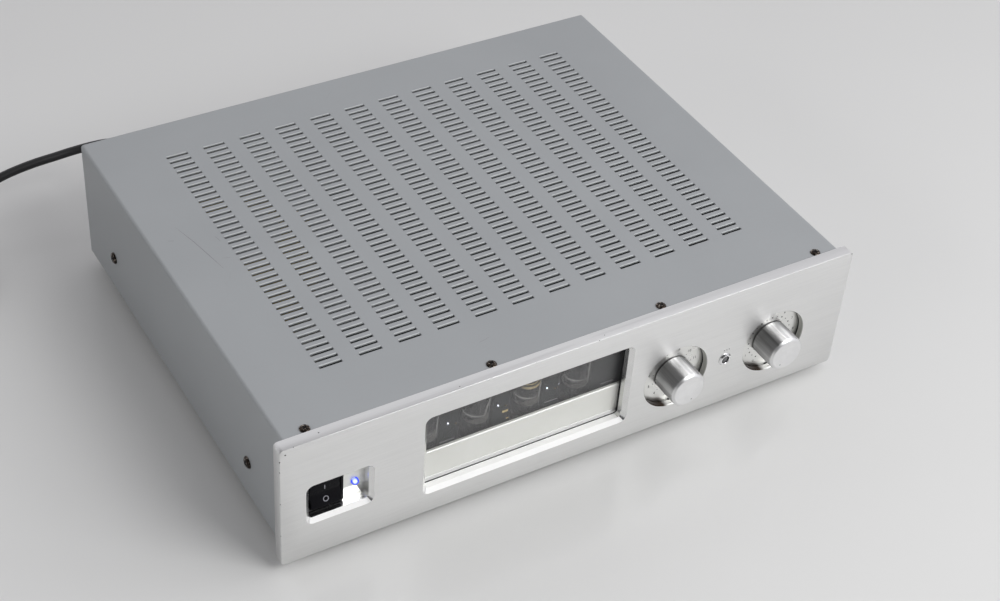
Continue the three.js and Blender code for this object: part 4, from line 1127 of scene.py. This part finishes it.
def make_tube(number, x):
    """A nine-pin tube: socket, bulb, plates between mica discs, heater ends and glints."""

    def bar(low, high, radius, u=0.0, v=0.0, **options):
        return rod(x + u, TUBE_Y + v, low, high, radius, axis="z", **options)

    def turned(profile, steps, tag=0):
        return lathe(profile, x, TUBE_Y, axis="z", steps=steps, closed=True, tag=tag)

    socket = turned([
        (5, 20.2), (10.7, 20.2, 0.4), (11, 24), (10.2, 24.4), (10.2, 25.2), (11, 25.6),
        (11, 29.2, 0.6), (5, 29.2, 0.5),
    ], 48)
    pins = [
        bar(26, 30.2, 0.55, *polar(0, 0, 7.6, 20 + 36 * k), ease=(0, 0.3), steps=10, tag=1)
        for k in range(9)
    ]
    finishes = [PHENOLIC, CHROME]
    piece("valve_base", [socket, *pins], finishes, "tube_socket", number=number)

    wall = [
        (2.5, 29.5), (9.8, 29.5, 1.2), (11, 33.5, 3), (11, 66, 4), (8.4, 72.6, 4), (3.0, 75.6, 2),
        (1.5, 78.2, 1), (0.02, 79.5),
    ]
    inner = [
        (0.02, 73.6), (6.6, 71.8, 3), (10.1, 66, 4), (10.1, 33.6, 3), (9.0, 30.5, 1), (2.5, 30.5),
    ]
    bulb = turned([*fillet(wall, steps=5), *fillet(inner, steps=5)], 56)
    piece("valve_bulb", [bulb], GLASS, "tube_glass", crease=50, number=number)

    discs = [
        bar(z, z + 0.8, 8.9, ease=(0.2, 0.2), steps=48, ribs=16, rib_depth=0.05, tag=1)
        for z in (37.5, 61.1)
    ]
    box = loft([
        on_z(outline(x - w, x + w, TUBE_Y - d, TUBE_Y + d, 3.2), z)
        for w, d, heights in (
            (7.1, 3.8, (38.3, 43)), (7.4, 4, (43.4, 44.4)), (7.1, 3.8, (44.8, 54)),
            (7.4, 4, (54.4, 55.4)), (7.1, 3.8, (55.8, 61.1)))
        for z in heights
    ])
    stem = bar(24.5, 31.5, 2.2, ease=(0, 0.6), steps=24)
    rods = [
        bar(30.6, 64, 0.5, u, v, ease=(0, 0.3), steps=10, tag=2)
        for u, v in ((-8.1, 0), (8.1, 0), (0, -5.2), (0, 5.2))
    ]
    getter = turned([(3.4, 66.2), (3.8, 66.6), (3.4, 67), (3.0, 66.6)], 24, tag=2)
    shells, finishes = [*discs, box, stem, *rods, getter], [ANODE, MICA, CHROME]
    piece("valve_plates", shells, finishes, "tube_anode", number=number)
    ends = [bar(33.2, 37.4, 0.7, u, steps=12) for u in (-3, 3)]
    piece("heater", ends, HEATER, number=number)

    def arc(first, last, radius, z, thick):
        turns = [first + (last - first) * k / 18 for k in range(19)]
        return sliver([(*polar(x, TUBE_Y, radius, turn), z) for turn in turns], thick)

    def streak(u, v, low, high, lean, thick):
        return sliver([
            (x + u - lean * k / 8, TUBE_Y + v, high + (low - high) * k / 8) for k in range(9)
        ], thick)

    shells = [
        arc(168, 285, 9.3, 45.3, 0.5),
        tagged(arc(192, 250, 8.6, 43.6, 0.25), 1),
        tagged(streak(8.2, -4.6, 28 if number == 3 else 36, 57, 0.6, 0.3), 1),
        streak(7.6, -5.4, 39, 55, 4.2 if number == 2 else 1.2, 0.6),
    ]
    if number == 4:
        shells.append(streak(6.6, -6.4, 46, 57, 0.8, 0.75))
    if number == 3:
        for radius, z in ((8.9, 54.6), (7.9, 56.2), (8.6, 53.2)):
            shells.append(tagged(arc(215, 320, radius, z, 0.4), 2))
    piece("valve_glints", shells, [GLINT, FAINT, GILT], number=number)


def on_board(x0, x1, y0, y1, top, corner, edge):
    return block(x0, x1, y0, y1, BOARD_PRINT, top, corner, edge, "z")


def make_inside():
    """Boards with their small parts, transformer, capacitors and heat sinks."""
    finish_nodes(BOARD, "amplifier_board", "supply_board")
    finish_nodes(WINDING, "transformer")
    finish_nodes(SLEEVE, "filter_capacitor_1", "filter_capacitor_2")
    finish_nodes(SINK, "heat_sink_1", "heat_sink_2")
    finish_nodes(ZINC, "transformer_clamp", "chassis_tray", "rear_panel")
    finish_nodes(ZINC, "select_shaft", "volume_shaft", "select_switch", "volume_control")
    finish_nodes(BLACK, "mains_inlet")
    lamps, pads = [], []
    for x in TUBE_X:
        for u, tall in ((-10.3, 0.7), (-0.6, 0.5)):
            lamps.append(lathe([
                (0, 19.85), (0.5, 19.85), (0.5, 20.2), (0.36, 20.2 + tall * 0.6), (0, 20.2 + tall),
            ], x + u, 52.7, axis="z", steps=16))
        for k in range(6):
            left = x - 6 + 2.4 * k
            pads.append(on_board(left, left + 1.2, 50, 51.2, 20.0, 0.2, 0.03))
    # Print lines on the board, made to glow: print with a painted glow.
    glowing_legend = [
        on_board(x - half, x + half, y - 0.35, y + 0.35, 19.98, 0.1, 0.03)
        for x, y, half in ((-77.2, 39.2, 6), (5.4, 41.3, 5.6), (49.2, 40.0, 5))
    ]
    # Golden blocks that glow though they are no lamp: painted glints seen through the tube window.
    bright = [
        on_board(-30.6, -24.6, 45.2, 46.3, 21.0, 0.3, 0.2),
        on_board(-31.2, -26.0, 39.5, 40.2, 20.2, 0.2, 0.1),
    ]
    piece("board_painted_glints", bright, GILT)
    piece("board_lamps", lamps, BOARD_LAMP)
    piece("board_print", glowing_legend, FAINT)
    piece("board_pads", pads, GOLD)
    parts = []
    resistor = rod(0, 0, -4, 4, 1.5, ease=(0.4, 0.4), axis="z", steps=16, tag=1)
    for k in range(9):
        x, y = -95 + 30 * k, 78 + 9 * (k % 3)
        parts.append(rod(x, y, 20, 33, 4.6, ease=(0.5, 0.8), axis="z", steps=28))
        parts.append(placed(resistor, x + 12, y + 14, 22.2, "right"))
    piece("board_parts", parts, [SLEEVE, MICA])


# Feet, rear sockets and terminals


def make_feet():
    screw = screw_head(4.6, 2.2)
    for end, y in (("front", 51.2), ("rear", 302.5)):
        for side, x in (("left", -167.0), ("right", 167.0)):
            foot = lathe([
                (6, 0), (15.5, 0, 0.9), (16.1, 3.6), (15.7, 3.9), (15.7, 4.3), (16.2, 4.6),
                (17, 9.5, 0.5), (2.5, 9.5), (2.5, 4), (6, 4),
            ], x, y, axis="z", closed=True)
            shells, name = [foot, tagged(placed(screw, x, y, 4, "down"), 1)], f"{end}_{side}"
            piece("foot_pad_" + name, shells, [RUBBER, ZINC], "foot_" + name)


def make_jacks():
    shells = [block(96.9, 155.1, 329.4, 338.4, 41.4, 78.6, 1, 0.5)]
    for column in (-1, 0, 1):
        for row, colour in ((0, 1), (1, 2)):
            place = JACK_X + JACK_PITCH * column, 60 + 19 * (row - 0.5)
            shells.append(lathe([
                (4.3, 340.25), (6.6, 340.25), (6.6, 341.5, 0.3), (4.3, 341.8),
            ], *place, steps=40, closed=True, tag=colour))
            shells.append(lathe([
                (1.7, 342.2), (3.3, 342.2), (3.3, 348.9, 0.15), (4.0, 349.2, 0.15), (4.2, 348.6),
                (4.2, 344.6), (3.9, 344.3), (3.9, 343.9), (4.2, 343.6), (4.2, 334), (1.7, 334),
            ], *place, steps=40, closed=True, tag=3))
            shells.append(rod(*place, 340, 347.4, 3.35, 1.7, (0, 0.3), steps=28, tag=2))
            shells.append(rod(*place, 340, 347.9, 1.7, 1.15, steps=20, tag=4))
    finishes = [BLACK, RED, WHITE, CHROME, GOLD]
    piece("phono_jacks", shells, finishes, "input_jacks")


def make_terminals():
    for number, x in enumerate(TERMINALS, start=1):
        colour = RED if number % 2 == 0 else BLACK
        post = lathe([
            (0, 329.4), (2.6, 329.4), (2.6, 340.5), (7.5, 340.5, 0.3), (7.5, 344.2, 0.4),
            (2.6, 344.2), (2.6, 357.5, 0.4), (0, 357.5),
        ], x, TERMINAL_Z, steps=40)
        post = tagged(
            post, 1, lambda c, x=x: c.y > 340.4 and (c.x - x) ** 2 + (c.z - TERMINAL_Z) ** 2 > 9)
        nut = rod(x, TERMINAL_Z, 335.6, 338.2, 5.2, 2.6, (0.3, 0.3), steps=6)
        finishes = [CHROME, colour]
        piece("terminal", [post, nut], finishes, "speaker_post", number=number)
        cap = lathe([
            (2.9, 344.5), (6.9, 344.5), (7.0, 345.1), (7.5, 345.4, 0.2), (7.5, 357.4, 0.5),
            (6.4, 358.6, 0.3), (6.2, 360.5, 0.4), (4.3, 360.5, 0.2), (4.0, 358.4), (2.9, 358.4),
        ], x, TERMINAL_Z, steps=108, closed=True, ribs=18, rib_depth=0.06)
        shells = [cap, rod(x, TERMINAL_Z, 358.9, 360.46, 5.9, 4.35, steps=40, tag=1)]
        finishes, body = [colour, GOLD], f"cap_{number}"
        piece("terminal_cap", shells, finishes, "speaker_cap", body, 45, number)


def make_rear():
    """Screws and plain numbers on the rear panel, a fuse drawer and a rim on the inlet."""
    head = screw_head(3.0, 1.7)
    shells = [
        placed(head, x, REAR_FACE + 0.02, z, "back") for x, z in (
            (-203, 20), (-203, 94), (203, 20), (203, 94), (0, 94), (0, 20), (-112, 94),
            (112, 94), (96, 60), (156, 60))
    ]
    piece("rear_screws", shells, [BRONZE, SHADE])
    drawer = block(-165.5, -148.5, 343.3, 343.48, 41.0, 42.8, 0.5, 0.05)
    rim = block(-171.8, -142.2, 343.44, 343.5, 63.1, 63.6, 0.1, 0.02)
    piece("inlet_details", [drawer, rim], BLACK)
    numbers = [(k + 1, JACK_X + JACK_PITCH * (1 - k), 83.5) for k in range(3)]
    numbers += [(4 - k, x, 69) for k, x in enumerate(TERMINALS)]
    shells = [
        placed(lettering(number, 4.2), x, REAR_FACE + 0.03, z, "back") for number, x, z in numbers
    ]
    piece("rear_numbers", shells, DARK_PRINT)


# Floor and light


def floor_material():
    """Pale lacquered table top, softly glossy."""
    s = Shader("pale_floor", Specular_IOR_Level=0.4, Coat_Weight=0.2, Coat_Roughness=0.16)
    cloud = s.noise(3, 3)
    tone = s.ramp(cloud, (0.3, grey(0.70, 0.69)), (0.75, grey(0.72, 0.71)))
    return s.feed(Base_Color=tone, Roughness=s.between(cloud, 0.35, 0.45))


def make_floor():
    mesh = bpy.data.meshes.new("floor")
    far = 6.0
    corners = [(-far, -far, 0), (far, -far, 0), (far, far, 0), (-far, far, 0)]
    mesh.from_pydata(corners, [], [(0, 1, 2, 3)])
    mesh.materials.append(floor_material())
    floor = add_object("floor", mesh)
    floor.location.z = -0.0002


def area_light(name, place, size, power):
    """A softbox that faces the origin."""
    data = bpy.data.lights.new(name, "AREA")
    data.shape = "RECTANGLE"
    data.size, data.size_y = size
    data.energy = power
    lamp = add_object(name, data)
    lamp.location = place
    lamp.rotation_euler = (-Vector(place)).to_track_quat("-Z", "Y").to_euler()
    return lamp


def make_light():
    """A room bright behind and to the right, darker above the viewer, and three softboxes."""
    world = bpy.data.worlds.new("soft_room")
    bpy.context.scene.world = world
    tree = Tree(world, "Generated")
    darkest = (-0.55, -0.62, 0.56)
    along = tree.node("VectorMath", "Value", {0: tree.place, 1: darkest}, operation="DOT_PRODUCT")
    tones = ((0.0, 0.95), (0.5, 0.88), (0.74, 0.5), (0.86, 0.12))
    room = tree.ramp(
        tree.between(along, 0, 1, -1, 1), *((p, (t, t * 0.995, t * 1.03)) for p, t in tones))
    background = tree.nodes["Background"]
    tree.put(background.inputs["Color"], room)
    background.inputs["Strength"].default_value = 0.86
    area_light("key_softbox", (0.67, -1.4, 1.4), (1.05, 1.05), 22)
    area_light("side_softbox", (1.9, -0.7, 1.4), (1.2, 1.0), 8)
    area_light("left_softbox", (-2.0, -0.35, 0.9), (1.6, 0.9), 9).visible_glossy = False


make_panel()
make_plate()
make_knob("select_knob", SELECT_X, -71, "select")
make_knob("volume_knob", VOLUME_X, -120, "volume")
make_scales()
make_sensor()
make_switch()
make_rocker()
make_lamp()
make_cover()
make_vent_edges()
make_marks()
for index, tube_x in enumerate(TUBE_X, start=1):
    make_tube(index, tube_x)
make_inside()
make_feet()
make_jacks()
make_terminals()
make_rear()
make_floor()
make_light()
bpy.context.scene.view_settings.view_transform = "Standard"
